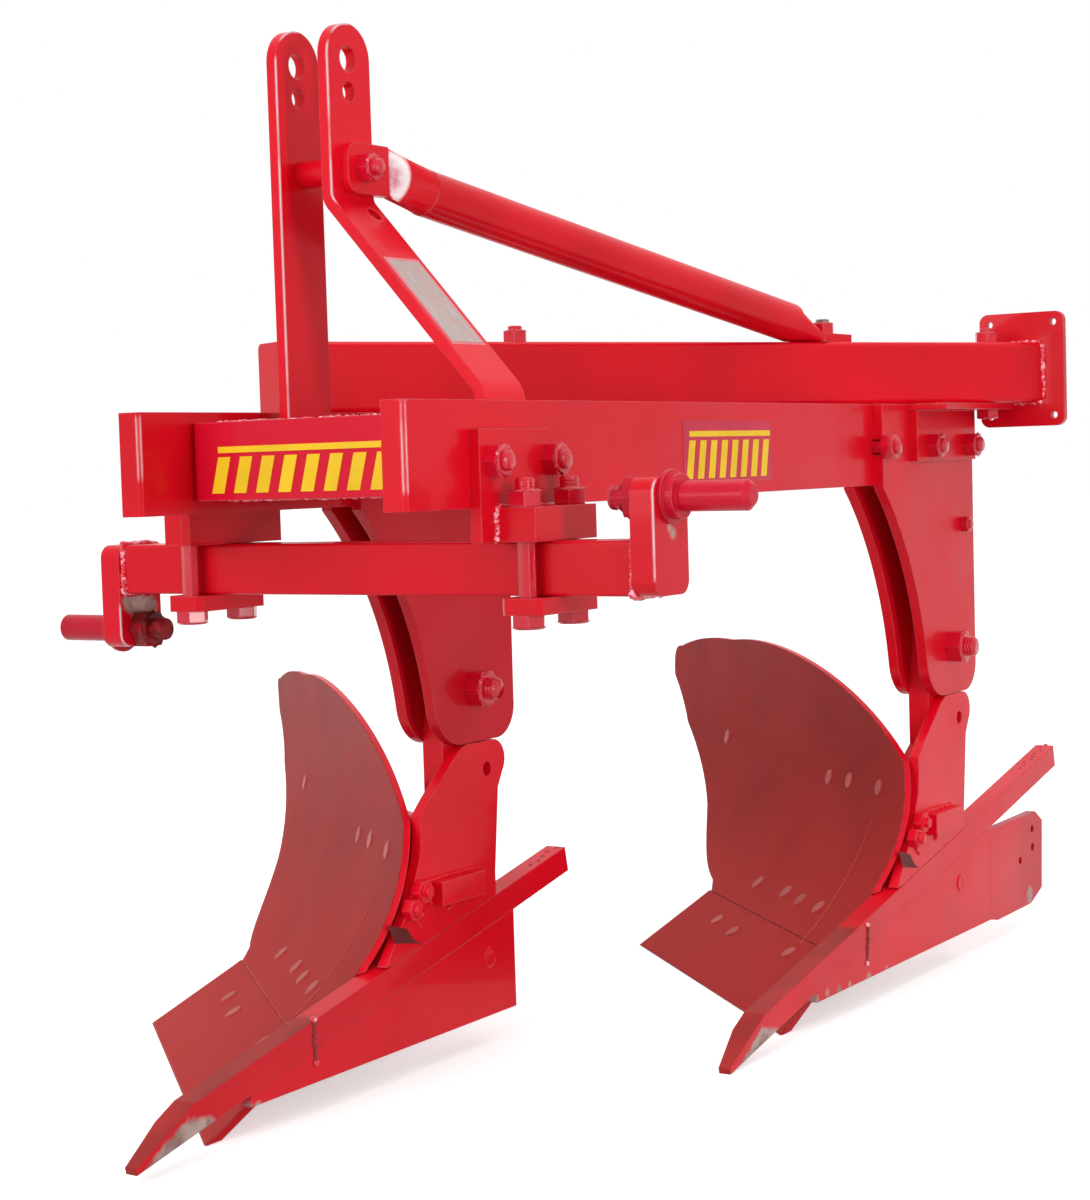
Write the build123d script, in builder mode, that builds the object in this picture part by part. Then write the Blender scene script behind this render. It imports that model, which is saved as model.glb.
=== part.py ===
from build123d import *
# Two-furrow mounted moldboard plough, full size, in millimetres.
# +X is the plough's left, -Y is the direction of travel, Z is up.
# Each body has its own frame: u to the left from its beam, v to the rear, z up.
import os
from math import atan2, cos, pi, radians, sin, sqrt, tan

os.makedirs("parts", exist_ok=True)

# ---------------------------------------------------------------- main sizes
SPACING = 313.0            # across, from one furrow slice to the next
PITCH = 645.0              # along, from one body to the next
BEAM_T, BEAM_H = 28.0, 100.0
BEAM_TOP = 735.0
BEAM_BOT = BEAM_TOP - BEAM_H
BEAM_FRONT = 0.0
BEAM_END = 588.0           # v of a beam's rear end
BEAM_EDGE = 3.0
BODY_Y = 20.0              # origin of the front body
GAP = 0.3                  # running gap of the pieces that move, and of stacked pieces

# name, side of its beam, way out from the middle, beam centre x, body origin y
BODIES = [("front", "right", -1, -SPACING / 2, BODY_Y),
          ("rear", "left", 1, SPACING / 2, BODY_Y + PITCH)]
BEAM_IN = SPACING / 2 - BEAM_T / 2      # x of the beams' inner faces

# fasteners: shanks and the holes round them are hidden, so they have few flats
SHANK_SIDES, BORE_SIDES = 8, 6
ROUND_SIDES = 24           # of small round pieces that nothing runs on
BOLT_GAP = 0.6
HEAD_ACROSS, HEAD_HIGH, NUT_HIGH = 1.6, 0.63, 0.8       # times the bolt's diameter
BOLT_TAIL = 6.0

# leg
CHEEK_T = 13.0
CHEEK_IN = BEAM_T / 2
CHEEK_OUT = CHEEK_IN + CHEEK_T
TOP_BOLTS = [311.0, 431.0, 549.0]      # v of the three bolts through the beam
TOP_BOLT_Z = BEAM_TOP - 53
PIVOT = (506.0, 420.0)                 # v and z
SHEAR = (551.0, 578.0)
LEG_BOLT_D, PIVOT_D, PIVOT_TAIL, SHEAR_D = 18.0, 24.0, 14.0, 12.0

# plough bottom: a cylinder-shaped board whose straight lines lie ANG from travel
ANG = radians(48.0)
SHARE_ANG = radians(28.0)
BOARD_R, BOARD_T = 290.0, 8.0
SHARE_T, SHARE_RUN = 9.0, 130.0
SEAM_N, SEAM_Z, SEAM_TOP, SEAM_GAP = 140.0, 60.0, 66.0, 0.6
NC = SEAM_N - BOARD_R * sin(SHARE_ANG)      # centre of the curve, level and upright
ZC = SEAM_Z + BOARD_R * cos(SHARE_ANG)
N_DIR = (cos(ANG), sin(ANG), 0)             # level, square to the board's lines
S_DIR = (-sin(ANG), cos(ANG), 0)            # along the board's lines

# frog, landside and heel
FROG_U = BEAM_T / 2 - GAP
SIDE_T = 13.0
LS_T, LS_Z0, LS_V0 = 13.0, 37.0, 90.0
# body: landside rear end v
LANDSIDE = {"front": 572.0, "rear": 622.0}
HEEL_GAP = 0.4
# block that holds the bar down: v and z ends, and its set screw
CLIP_T, CLIP_V, CLIP_Z = 17.0, (408.0, 492.0), (186.0, 213.0)
SCREW_V, SCREW_Z, SCREW_D, SCREW_NUT, SCREW_NUT_T = 384.0, 206.0, 13.0, 24.0, 12.0
SIDE_HOLE = (527.0, 324.0)             # v and z of the hole in the side plate

# bar point, its left face flush with the landside's
BAR_W, BAR_H = 26.0, 30.0
BAR_U0 = FROG_U + LS_T + GAP - BAR_W
BAR_ANG = radians(12.0)
BAR_Z0, BAR_V0 = 4.0, -125.0           # a point of the line along the bars' underside
BAR_RISE = BAR_H / cos(BAR_ANG)
# body: tip v, rear end v
BARS = {"front": (-78.0, 694.0), "rear": (-125.0, 874.0)}
TIP_BEVEL, TIP_SIDE, TIP_SIDE_LEN, TIP_EDGE = 92.0, 12.0, 55.0, 7.0

# cross shaft
SHAFT = 51.0
SHAFT_Y, SHAFT_Z = 175.0, BEAM_BOT - 58
SHAFT_TOP, SHAFT_BOT = SHAFT_Z + SHAFT / 2, SHAFT_Z - SHAFT / 2
SHAFT_HALF = 312.0                     # to the inner face of each crank
CRANK_T, CRANK_W, CRANK_OFF, CRANK_END, CRANK_R = 25.0, SHAFT + 11, 64.0, 18.0, 14.0
PIN_D, PIN_LEN, PIN_CHAMFER = 28.0, 72.0, 5.0
WASHER_D, WASHER_T, SHOULDER_D, SHOULDER = 50.0, 4.0, 42.0, 9.0
STUD_D, STUD_TAIL, PIN_NUT_ACROSS, PIN_NUT = 22.0, 32.0, 36.0, 18.0

# brackets of the cross shaft, under the beams
BRACKET_T, BRACKET_Y0, BRACKET_Y1, BRACKET_Z1, BRACKET_CUT = 12.0, 98.0, 240.0, BEAM_TOP - 27, 24.0
CLAMP_T, CLAMP_CUT = 16.0, 6.0
CLAMP_BOLT_D, CLAMP_TAIL = 18.0, 12.0
CLAMP_BOLT_U = BEAM_T / 2 + 35
CLAMP_BOLT_DY = SHAFT / 2 + CLAMP_BOLT_D / 2 + 4     # clear of the shaft
BLOCK_Y0, BLOCK_Y1 = SHAFT_Y - CLAMP_BOLT_DY - 14.5, SHAFT_Y + CLAMP_BOLT_DY + 14.5
BLOCK_U1 = BEAM_T / 2 + 55
CLAMP_BOLTS_Y = (118.0, 216.0)         # the level bolts through each beam
CLAMP_BOLT_Z = BEAM_TOP - 57

# front cross plate, its ends turned back along the beams, and the tube behind it
CP_Z1 = BEAM_TOP - 11
CP_T, CP_Z0, CP_Y, CP_BACK, CP_R = 10.0, CP_Z1 - 76, 70.0, 150.0, 14.0
TUBE_Z0, TUBE_Z1, TUBE_WALL = CP_Z0 + 2, CP_Z1 - 2, 6.0
TUBE_X = BEAM_IN - CP_T - 20.0         # clear of the bolt heads on the plate's ends

# mast
MAST_Y0, MAST_Y1, MAST_T = 170.0, 238.0, 12.0
MAST_TOP = 1115.0
MAST_R_X, MAST_L_X = -109.0, -44.5     # right face of each plate
MAST_BEND_R, FOOT_Z, FOOT_LOW = 24.0, BEAM_TOP + 7, CP_Z0 - 2
LINK_Y, LINK_UP_Z, LINK_LOW_Z = 203.0, 1080.0, 1048.0
LINK_UP_D, LINK_LOW_D = 25.7, 19.3
STAY_Y, STAY_Z, STAY_BOLT_D = 209.0, 972.0, 16.0
PIPE_D, FLAT_T, FLAT_H, FLAT_R = 48.0, 11.0, 50.0, 14.0      # stay pipe and its flattened ends
# the left plate bends where the stay's flat end stops
MAST_TILT = atan2(BEAM_IN - MAST_T - MAST_L_X, STAY_Z - 34 - FOOT_Z)
BEND_Z = STAY_Z - FLAT_H / 2 - MAST_BEND_R * tan(MAST_TILT / 2)
SPACER_D = 27.0
SMALL_DOWN, SMALL_Y, SMALL_D = 24.0, 221.0, 17.0     # hole below the left plate's bend

# top beam, from bracket to bracket
TOP_W, TOP_H, TOP_WALL, TOP_R, TOP_CAP = 60.0, 79.0, 6.0, 7.0, 3.0
TOP_Z = BEAM_TOP
TOP_DIR = atan2(PITCH, SPACING)
BR_OFF, BR_V = CHEEK_OUT + 31.5, 566.0      # u and v of the bolt through the top beam
TOP_BOLT_D = 16.0
TOP_OVER, TOP_END_V = 309.0, 618.0          # ahead of the front bolt, and v behind the rear body
EP_W, EP_H, EP_T, EP_R, EP_LOW, EP_SIDE = 116.0, 150.0, 10.0, 12.0, 31.0, 3.0
EP_PITCH_X, EP_PITCH_Z, EP_HOLE = 88.0, 122.0, 9.0

# angle brackets between the beams and the top beam
BR_T, BR_V0, BR_V1, BR_U1, BR_Z0 = 10.0, 388.0, 575.0, CHEEK_OUT + 51, BEAM_TOP - 72
BR_FT, BR_FV0, BR_FV1 = 8.0, 385.0, TOP_END_V - 4      # the level flange

# stay pipe, flattened at both ends
PIPE_FRONT = (22.0, 83.0, -18.0)       # pipe's front end from the bolt through the mast
PIPE_REAR = (12.0, 69.0)               # rear end, ahead of the bolt in the top beam
STAY_AT, STAY_OFF = 453.5, 6.0         # that bolt: along from the front bolt, and to the right
FLAT_BACK = 41.0                       # flat front end, behind its bolt
TAIL_OFF, TAIL_HALF, TAIL_FRONT, TAIL_REAR = 4.0, 25.0, 37.0, 40.0      # flat rear end, round its bolt
STAY_NUT, STAY_STUD = 13.0, 18.0
NECK_SIDES, NECK_IN, NECK_LAP = 20, 0.2, 2.0

# stay of each moldboard's wing
BOARD_STAY_S, BOARD_STAY_Z, BOARD_STAY_D = 897.0, 246.0, 22.0
FOOT_W, FOOT_L, FOOT_T, FOOT_CUT = 44.0, 84.0, 8.0, 6.0
LUG_D, LUG_T, LUG_V, LUG_AT_Z, ROD_SET = 46.0, 22.0, 505.0, 250.0, 16.0
BOARD_NUT, BOARD_NUT_T = 24.6, 10.0

PIECES = {}


def finish(name, part):
    part.label = name
    PIECES[name] = part


def facing_x(x, y=0.0, z=0.0, s=1):
    # a plane square to X, looking to +X or -X
    return Plane(origin=(x, y, z), x_dir=(0, s, 0), z_dir=(s, 0, 0))


def facing_y(x, y, z):
    return Plane(origin=(x, y, z), x_dir=(1, 0, 0), z_dir=(0, 1, 0))


def level(x, y, z):
    return Plane(origin=(x, y, z))


def block(x0, x1, y0, y1, z0, z1, mode=Mode.ADD):
    x0, x1 = sorted((x0, x1))
    with Locations(((x0 + x1) / 2, (y0 + y1) / 2, (z0 + z1) / 2)):
        Box(x1 - x0, y1 - y0, z1 - z0, mode=mode)


def round_bar(plane, d, length, mode=Mode.ADD):
    with BuildSketch(plane) as section:
        Circle(d / 2)
    extrude(to_extrude=section.sketch, amount=length, mode=mode)


def prism(plane, sides, width, length, flats=True, mode=Mode.ADD):
    # a regular prism; its width is over the flats, or else over the corners
    with BuildSketch(plane) as section:
        RegularPolygon(width / 2, sides, major_radius=not flats)
    extrude(to_extrude=section.sketch, amount=length, mode=mode)


def bolt(plane, d, grip, tail):
    # head behind the plane, shank through the grip, then nut and tail
    prism(plane.offset(-HEAD_HIGH * d), 6, HEAD_ACROSS * d, HEAD_HIGH * d)
    prism(plane.offset(grip), 6, HEAD_ACROSS * d, NUT_HIGH * d)
    prism(plane, SHANK_SIDES, d, grip + NUT_HIGH * d + tail, flats=False)


def bore(plane, d, depth):
    # a clearance hole from 1 mm before the plane to 1 mm past the depth
    prism(plane.offset(-1), BORE_SIDES, d + BOLT_GAP, depth + 2, mode=Mode.SUBTRACT)


def flat_plate(plane, points, t, mode=Mode.ADD):
    # a plate of straight edges
    with BuildSketch(plane) as section:
        with BuildLine():
            Polyline(*points, close=True)
        make_face()
    extrude(to_extrude=section.sketch, amount=t, mode=mode)


# ---------------------------------------------------------------- frame beams
for _, side, s, xc, yb in BODIES:
    with BuildPart() as beam:
        block(xc - BEAM_T / 2, xc + BEAM_T / 2, BEAM_FRONT, yb + BEAM_END, BEAM_BOT, BEAM_TOP)
        chamfer(beam.edges().filter_by(Axis.Z), BEAM_EDGE)
        for v in TOP_BOLTS:
            bore(facing_x(xc - BEAM_T / 2, yb + v, TOP_BOLT_Z), LEG_BOLT_D, BEAM_T)
        for y in CLAMP_BOLTS_Y:
            bore(facing_x(xc - BEAM_T / 2, y, CLAMP_BOLT_Z), CLAMP_BOLT_D, BEAM_T)
    finish(side + "_beam", beam.part)

with BuildPart() as cross_plate:
    with BuildSketch(Plane.XY.offset(CP_Z0)) as section:
        with Locations((0, (CP_Y + CP_BACK) / 2)):
            Rectangle(2 * BEAM_IN, CP_BACK - CP_Y)
        fillet(section.vertices().group_by(Axis.Y)[0], CP_R)
        with Locations((0, (CP_Y + CP_T + CP_BACK) / 2)):
            Rectangle(2 * (BEAM_IN - CP_T), CP_BACK - CP_Y - CP_T, mode=Mode.SUBTRACT)
    extrude(amount=CP_Z1 - CP_Z0)
    for x in (-BEAM_IN, BEAM_IN - CP_T):
        bore(facing_x(x, CLAMP_BOLTS_Y[0], CLAMP_BOLT_Z), CLAMP_BOLT_D, CP_T)
finish("front_cross_plate", cross_plate.part)

with BuildPart() as cross_tube:
    block(-TUBE_X, TUBE_X, CP_Y + CP_T, MAST_Y0, TUBE_Z0, TUBE_Z1)
    block(-TUBE_X, TUBE_X, CP_Y + CP_T + TUBE_WALL, MAST_Y0 - TUBE_WALL,
          TUBE_Z0 + TUBE_WALL, TUBE_Z1 - TUBE_WALL, mode=Mode.SUBTRACT)
finish("front_cross_tube", cross_tube.part)

# ---------------------------------------------------------------- mast
MAST_MID, MAST_HALF = (MAST_Y0 + MAST_Y1) / 2, (MAST_Y1 - MAST_Y0) / 2
CROWN_Z = MAST_TOP - MAST_HALF

with BuildPart() as mast_right:
    with BuildSketch(facing_x(MAST_R_X)):
        with BuildLine():
            Polyline((MAST_Y0, CROWN_Z), (MAST_Y0, TUBE_Z0), (MAST_Y1, TUBE_Z0), (MAST_Y1, CROWN_Z))
            ThreePointArc((MAST_Y1, CROWN_Z), (MAST_MID, MAST_TOP), (MAST_Y0, CROWN_Z))
        make_face()
        with Locations((LINK_Y, LINK_UP_Z)):
            Circle(LINK_UP_D / 2, mode=Mode.SUBTRACT)
        with Locations((LINK_Y, LINK_LOW_Z)):
            Circle(LINK_LOW_D / 2, mode=Mode.SUBTRACT)
    extrude(amount=MAST_T)
    bore(facing_x(MAST_R_X, STAY_Y, STAY_Z), STAY_BOLT_D, MAST_T)
finish("mast_plate_right", mast_right.part)

# the left plate is upright, set outward across to the left beam, and upright again
SET_DIR = Vector(BEAM_IN - MAST_T - MAST_L_X, 0, FOOT_Z - BEND_Z).normalized()
with BuildPart() as mast_left:
    with BuildSketch(Plane(origin=(0, MAST_Y1, 0), x_dir=(1, 0, 0), z_dir=(0, -1, 0))):
        with BuildLine():
            FilletPolyline((MAST_L_X, MAST_TOP), (MAST_L_X, BEND_Z),
                           (BEAM_IN - MAST_T, FOOT_Z), (BEAM_IN - MAST_T, FOOT_LOW), radius=MAST_BEND_R)
            offset(amount=MAST_T, side=Side.LEFT, closed=True)
        make_face()
    extrude(amount=MAST_Y1 - MAST_Y0)
    with BuildSketch(facing_x(MAST_L_X)):
        with Locations((MAST_MID, CROWN_Z + MAST_HALF)):
            Rectangle(2 * MAST_HALF + 2, 2 * MAST_HALF)
        with Locations((MAST_MID, CROWN_Z)):
            Circle(MAST_HALF, mode=Mode.SUBTRACT)
    extrude(amount=MAST_T, mode=Mode.SUBTRACT)
    round_bar(facing_x(MAST_L_X, LINK_Y, LINK_UP_Z), LINK_UP_D, MAST_T, Mode.SUBTRACT)
    round_bar(facing_x(MAST_L_X, LINK_Y, LINK_LOW_Z), LINK_LOW_D, MAST_T, Mode.SUBTRACT)
    bore(facing_x(MAST_L_X, STAY_Y, STAY_Z), STAY_BOLT_D, MAST_T)
    bore(facing_x(BEAM_IN - MAST_T, CLAMP_BOLTS_Y[1], CLAMP_BOLT_Z), CLAMP_BOLT_D, MAST_T)
    hole_at = Vector(MAST_L_X, SMALL_Y, BEND_Z) + SET_DIR * SMALL_DOWN
    hole_dir = Vector(-SET_DIR.Z, 0, SET_DIR.X)
    round_bar(Plane(origin=hole_at - hole_dir * MAST_T, z_dir=hole_dir), SMALL_D, 3 * MAST_T, Mode.SUBTRACT)
finish("mast_plate_left", mast_left.part)

SPACER_X0 = MAST_R_X + MAST_T
with BuildPart() as spacer:
    prism(facing_x(SPACER_X0, STAY_Y, STAY_Z), ROUND_SIDES, SPACER_D, MAST_L_X - SPACER_X0, flats=False)
    bore(facing_x(SPACER_X0, STAY_Y, STAY_Z), STAY_BOLT_D, MAST_L_X - SPACER_X0)
finish("mast_spacer", spacer.part)

# ---------------------------------------------------------------- top beam
TOP_BOLTS_XY = [(xc + BR_OFF, yb + BR_V) for _, _, _, xc, yb in BODIES]
TOP_X0, TOP_Y0 = TOP_BOLTS_XY[0]
TOP_END_Y = BODIES[1][4] + TOP_END_V
START_X, START_Y = TOP_X0 - TOP_OVER * cos(TOP_DIR), TOP_Y0 - TOP_OVER * sin(TOP_DIR)
TOP_LENGTH = (TOP_END_Y - START_Y) / sin(TOP_DIR)
STAY_END = (TOP_X0 + STAY_AT * cos(TOP_DIR) - STAY_OFF, TOP_Y0 + STAY_AT * sin(TOP_DIR))
BEAM_SIDE = TOP_W / tan(TOP_DIR)
TOP_FACE = TOP_Z + TOP_H

with BuildPart() as top_beam:
    start = Plane(origin=(START_X, START_Y, TOP_Z + TOP_H / 2),
                  x_dir=(-sin(TOP_DIR), cos(TOP_DIR), 0), z_dir=(cos(TOP_DIR), sin(TOP_DIR), 0))
    with BuildSketch(start):
        RectangleRounded(TOP_W, TOP_H, TOP_R)
    extrude(amount=TOP_LENGTH + BEAM_SIDE)
    with BuildSketch(start.offset(TOP_CAP)):
        Rectangle(TOP_W - 2 * TOP_WALL, TOP_H - 2 * TOP_WALL)
    extrude(amount=TOP_LENGTH + BEAM_SIDE, mode=Mode.SUBTRACT)
    # cut square to travel, where the end plate is welded on
    block(START_X, START_X + TOP_LENGTH, TOP_END_Y, TOP_END_Y + TOP_LENGTH, TOP_Z - 1, TOP_FACE + 1,
          mode=Mode.SUBTRACT)
    for x, y in TOP_BOLTS_XY:
        bore(level(x, y, TOP_Z), TOP_BOLT_D, TOP_H)
    bore(level(*STAY_END, TOP_FACE - STAY_STUD), STAY_BOLT_D, STAY_STUD)
finish("top_beam", top_beam.part)

EP_X = TOP_X0 + (TOP_END_Y - TOP_Y0) / tan(TOP_DIR) + EP_SIDE
EP_Z0 = TOP_Z - EP_LOW
with BuildPart() as end_plate:
    with BuildSketch(facing_y(EP_X, TOP_END_Y, EP_Z0 + EP_H / 2)):
        RectangleRounded(EP_W, EP_H, EP_R)
        with GridLocations(EP_PITCH_X, EP_PITCH_Z, 2, 2):
            Circle(EP_HOLE / 2, mode=Mode.SUBTRACT)
    extrude(amount=EP_T)
finish("end_plate", end_plate.part)

for name, _, _, xc, yb in BODIES:
    u0 = xc + CHEEK_OUT
    with BuildPart() as bracket:
        block(u0, u0 + BR_T, yb + BR_V0, yb + BR_V1, BR_Z0, TOP_Z)
        block(u0, xc + BR_U1, yb + BR_FV0, yb + BR_FV1, TOP_Z - BR_FT, TOP_Z)
        for v in TOP_BOLTS[1:]:
            bore(facing_x(u0, yb + v, TOP_BOLT_Z), LEG_BOLT_D, BR_T)
        bore(level(xc + BR_OFF, yb + BR_V, TOP_Z - BR_FT), TOP_BOLT_D, BR_FT)
    finish("top_bracket_" + name, bracket.part)

with BuildPart() as top_bolts:
    for x, y in TOP_BOLTS_XY:
        bolt(level(x, y, TOP_Z - BR_FT), TOP_BOLT_D, BR_FT + TOP_H, BOLT_TAIL)
finish("top_beam_bolts", top_bolts.part)

# ---------------------------------------------------------------- stay pipe
FLAT_X, TAIL_X = MAST_L_X + MAST_T, STAY_END[0] - TAIL_OFF
pipe_front = Vector(FLAT_X, STAY_Y, STAY_Z) + Vector(*PIPE_FRONT)
pipe_rear = Vector(STAY_END[0] - PIPE_REAR[0], STAY_END[1] - PIPE_REAR[1], TOP_FACE + PIPE_D / 2 + GAP)
along = (pipe_rear - pipe_front).normalized()


def round_plane(at, x_dir):
    # square to the pipe, with its x as near to x_dir as it can be
    return Plane(origin=at, x_dir=x_dir - along * along.dot(x_dir), z_dir=along)


def neck_section(plane, half_w, half_t):
    # a circle squashed to half_t, as a polygon that keeps the same corners whatever the squash
    turns = [2 * pi * (i + 0.5) / NECK_SIDES for i in range(NECK_SIDES)]
    corners = [(half_w * cos(a), max(-half_t, min(half_t, half_w * sin(a)))) for a in turns]
    return plane * make_face(Polyline(*corners, close=True))


# each neck runs from the flattened end's section to the pipe's
W, T, R = FLAT_H / 2 - NECK_IN, FLAT_T / 2 - NECK_IN, PIPE_D / 2 - NECK_IN
NECKS = [
    [neck_section(Plane(origin=(FLAT_X + FLAT_T / 2, STAY_Y + FLAT_BACK - 1, STAY_Z),
                        x_dir=(0, 0, 1), z_dir=(0, 1, 0)), W, T),
     neck_section(round_plane(pipe_front + along * NECK_LAP, Vector(0, 0, 1)), R, R)],
    [neck_section(Plane(origin=(TAIL_X, STAY_END[1] - TAIL_FRONT + 1, TOP_FACE + FLAT_T / 2),
                        x_dir=(1, 0, 0), z_dir=(0, 1, 0)), W, T),
     neck_section(round_plane(pipe_rear - along * NECK_LAP, Vector(1, 0, 0)), R, R)]]

with BuildPart() as stay:
    with BuildSketch(round_plane(pipe_front, Vector(0, 0, 1))):
        Circle(PIPE_D / 2)
    extrude(amount=(pipe_rear - pipe_front).length)
    block(FLAT_X, FLAT_X + FLAT_T, STAY_Y - FLAT_H / 2, STAY_Y + FLAT_BACK,
          STAY_Z - FLAT_H / 2, STAY_Z + FLAT_H / 2)
    fillet(stay.edges().filter_by(Axis.X).group_by(Axis.Y)[0], FLAT_R)
    block(TAIL_X - TAIL_HALF, TAIL_X + TAIL_HALF, STAY_END[1] - TAIL_FRONT, STAY_END[1] + TAIL_REAR,
          TOP_FACE, TOP_FACE + FLAT_T)
    for sections in NECKS:
        loft(sections=sections, ruled=True)
    bore(facing_x(FLAT_X, STAY_Y, STAY_Z), STAY_BOLT_D, FLAT_T + 20)
    bore(level(*STAY_END, TOP_FACE), STAY_BOLT_D, FLAT_T + 20)
finish("stay_pipe", stay.part)

with BuildPart() as stay_bolts:
    bolt(facing_x(MAST_R_X, STAY_Y, STAY_Z), STAY_BOLT_D, FLAT_X + FLAT_T - MAST_R_X, 8)
    prism(level(*STAY_END, TOP_FACE + FLAT_T), 6, HEAD_ACROSS * STAY_BOLT_D, STAY_NUT)
    prism(level(*STAY_END, TOP_FACE - STAY_STUD), SHANK_SIDES, STAY_BOLT_D,
          STAY_STUD + FLAT_T + STAY_STUD, flats=False)
finish("stay_bolts", stay_bolts.part)

# ---------------------------------------------------------------- cross shaft
for _, side, s, xc, yb in BODIES:
    plate_in, plate_out = xc + s * BEAM_T / 2, xc + s * (BEAM_T / 2 + BRACKET_T)
    bracket_low = SHAFT_TOP + GAP
    with BuildPart() as bracket:
        flat_plate(facing_x(min(plate_in, plate_out)),
                   [(BRACKET_Y0, bracket_low), (BRACKET_Y1, bracket_low),
                    (BRACKET_Y1, BRACKET_Z1 - BRACKET_CUT), (BRACKET_Y1 - BRACKET_CUT, BRACKET_Z1),
                    (BRACKET_Y0, BRACKET_Z1)], BRACKET_T)
        block(plate_out, xc + s * BLOCK_U1, BLOCK_Y0, BLOCK_Y1, bracket_low, BEAM_BOT)
        for y in CLAMP_BOLTS_Y:
            bore(facing_x(min(plate_in, plate_out), y, CLAMP_BOLT_Z), CLAMP_BOLT_D, BRACKET_T)
        for dy in (-CLAMP_BOLT_DY, CLAMP_BOLT_DY):
            bore(level(xc + s * CLAMP_BOLT_U, SHAFT_Y + dy, bracket_low), CLAMP_BOLT_D, BEAM_BOT - bracket_low)
    finish("shaft_bracket_" + side, bracket.part)

    clamp_z = SHAFT_BOT - GAP - CLAMP_T
    with BuildPart() as clamp:
        block(plate_out, xc + s * (BLOCK_U1 + 2), BLOCK_Y0, BLOCK_Y1, clamp_z, clamp_z + CLAMP_T)
        chamfer(clamp.edges().filter_by(Axis.Z), CLAMP_CUT)
        for dy in (-CLAMP_BOLT_DY, CLAMP_BOLT_DY):
            bore(level(xc + s * CLAMP_BOLT_U, SHAFT_Y + dy, clamp_z), CLAMP_BOLT_D, CLAMP_T)
    finish("shaft_clamp_" + side, clamp.part)

with BuildPart() as clamp_bolts:
    for _, side, s, xc, yb in BODIES:
        for dy in (-CLAMP_BOLT_DY, CLAMP_BOLT_DY):
            bolt(level(xc + s * CLAMP_BOLT_U, SHAFT_Y + dy, clamp_z), CLAMP_BOLT_D, BEAM_BOT - clamp_z, CLAMP_TAIL)
        # the level bolts also hold the cross plate's ends and the foot of the mast
        for y, inner in zip(CLAMP_BOLTS_Y, (CP_T, MAST_T if s > 0 else 0.0)):
            bolt(facing_x(xc - s * (BEAM_T / 2 + inner), y, CLAMP_BOLT_Z, s), CLAMP_BOLT_D,
                 inner + BEAM_T + BRACKET_T, BOLT_TAIL)
finish("clamp_bolts", clamp_bolts.part)

with BuildPart() as shaft:
    block(-SHAFT_HALF, SHAFT_HALF, SHAFT_Y - SHAFT / 2, SHAFT_Y + SHAFT / 2, SHAFT_BOT, SHAFT_TOP)
    fillet(shaft.edges().filter_by(Axis.X), 3)
finish("cross_shaft", shaft.part)

# each crank ends flush with the shaft and holds a lower-link pin, up or down
for side, s in (("right", -1), ("left", 1)):
    pin_z = SHAFT_Z + s * CRANK_OFF
    crank_z0, crank_z1 = sorted((SHAFT_Z - s * SHAFT / 2, pin_z + s * CRANK_END))
    with BuildPart() as crank:
        with BuildSketch(facing_x(s * SHAFT_HALF, SHAFT_Y, (crank_z0 + crank_z1) / 2, s)):
            RectangleRounded(CRANK_W, crank_z1 - crank_z0, CRANK_R)
        extrude(amount=CRANK_T)
        bore(facing_x(s * SHAFT_HALF, SHAFT_Y, pin_z, s), STUD_D, CRANK_T)
    finish("hitch_crank_" + side, crank.part)

    face = facing_x(s * (SHAFT_HALF + CRANK_T), SHAFT_Y, pin_z, s)
    with BuildPart() as pin:
        round_bar(face.offset(WASHER_T + SHOULDER), PIN_D, PIN_LEN)
        chamfer(pin.edges().sort_by(Axis.X)[-1 if s > 0 else 0], PIN_CHAMFER)
        prism(face, ROUND_SIDES, WASHER_D, WASHER_T, flats=False)
        prism(face.offset(WASHER_T), ROUND_SIDES, SHOULDER_D, SHOULDER, flats=False)
        prism(face.offset(-CRANK_T - STUD_TAIL), SHANK_SIDES, STUD_D, CRANK_T + STUD_TAIL, flats=False)
        prism(face.offset(-CRANK_T - PIN_NUT), 6, PIN_NUT_ACROSS, PIN_NUT)
    finish("hitch_pin_" + side, pin.part)


# ---------------------------------------------------------------- legs and bottoms
def bar_low(v):
    return BAR_Z0 + (v - BAR_V0) * tan(BAR_ANG)


def cut_bar_slot(xc, yb, u0, u1, clear, v0=-260.0, v1=1060.0):
    # the room that a bar point slides in
    flat_plate(facing_x(xc + u0, yb), [
        (v0, bar_low(v0) - clear), (v1, bar_low(v1) - clear),
        (v1, bar_low(v1) + BAR_RISE + clear), (v0, bar_low(v0) + BAR_RISE + clear)],
        u1 - u0, Mode.SUBTRACT)


def on_curve(r, a):
    # a point of the board's section, a up from straight below the curve's centre
    return NC + r * sin(a), ZC - r * cos(a)


def section_plane(xc, yb, s0):
    return Plane(origin=(xc + S_DIR[0] * s0, yb + S_DIR[1] * s0, 0), x_dir=N_DIR,
                 z_dir=(-S_DIR[0], -S_DIR[1], 0))


def curved_strip(xc, yb, back0, back1, s0, s1, a0, a1, share_run=0.0):
    # the curve between two depths behind the board's face, with the share's
    # straight run ahead of it where share_run isn't 0
    r0, r1, mid = BOARD_R + back0, BOARD_R + back1, (a0 + a1) / 2
    dn, dz = share_run * cos(a0), share_run * sin(a0)
    in0, out0 = on_curve(r0, a0), on_curve(r1, a0)
    with BuildSketch(section_plane(xc, yb, s0)) as section:
        with BuildLine():
            ThreePointArc(in0, on_curve(r0, mid), on_curve(r0, a1))
            Line(on_curve(r0, a1), on_curve(r1, a1))
            ThreePointArc(on_curve(r1, a1), on_curve(r1, mid), out0)
            if share_run:
                Polyline(out0, (out0[0] - dn, out0[1] - dz), (in0[0] - dn, in0[1] - dz), in0)
            else:
                Line(out0, in0)
        make_face()
    extrude(to_extrude=section.sketch, amount=s0 - s1)


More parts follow.
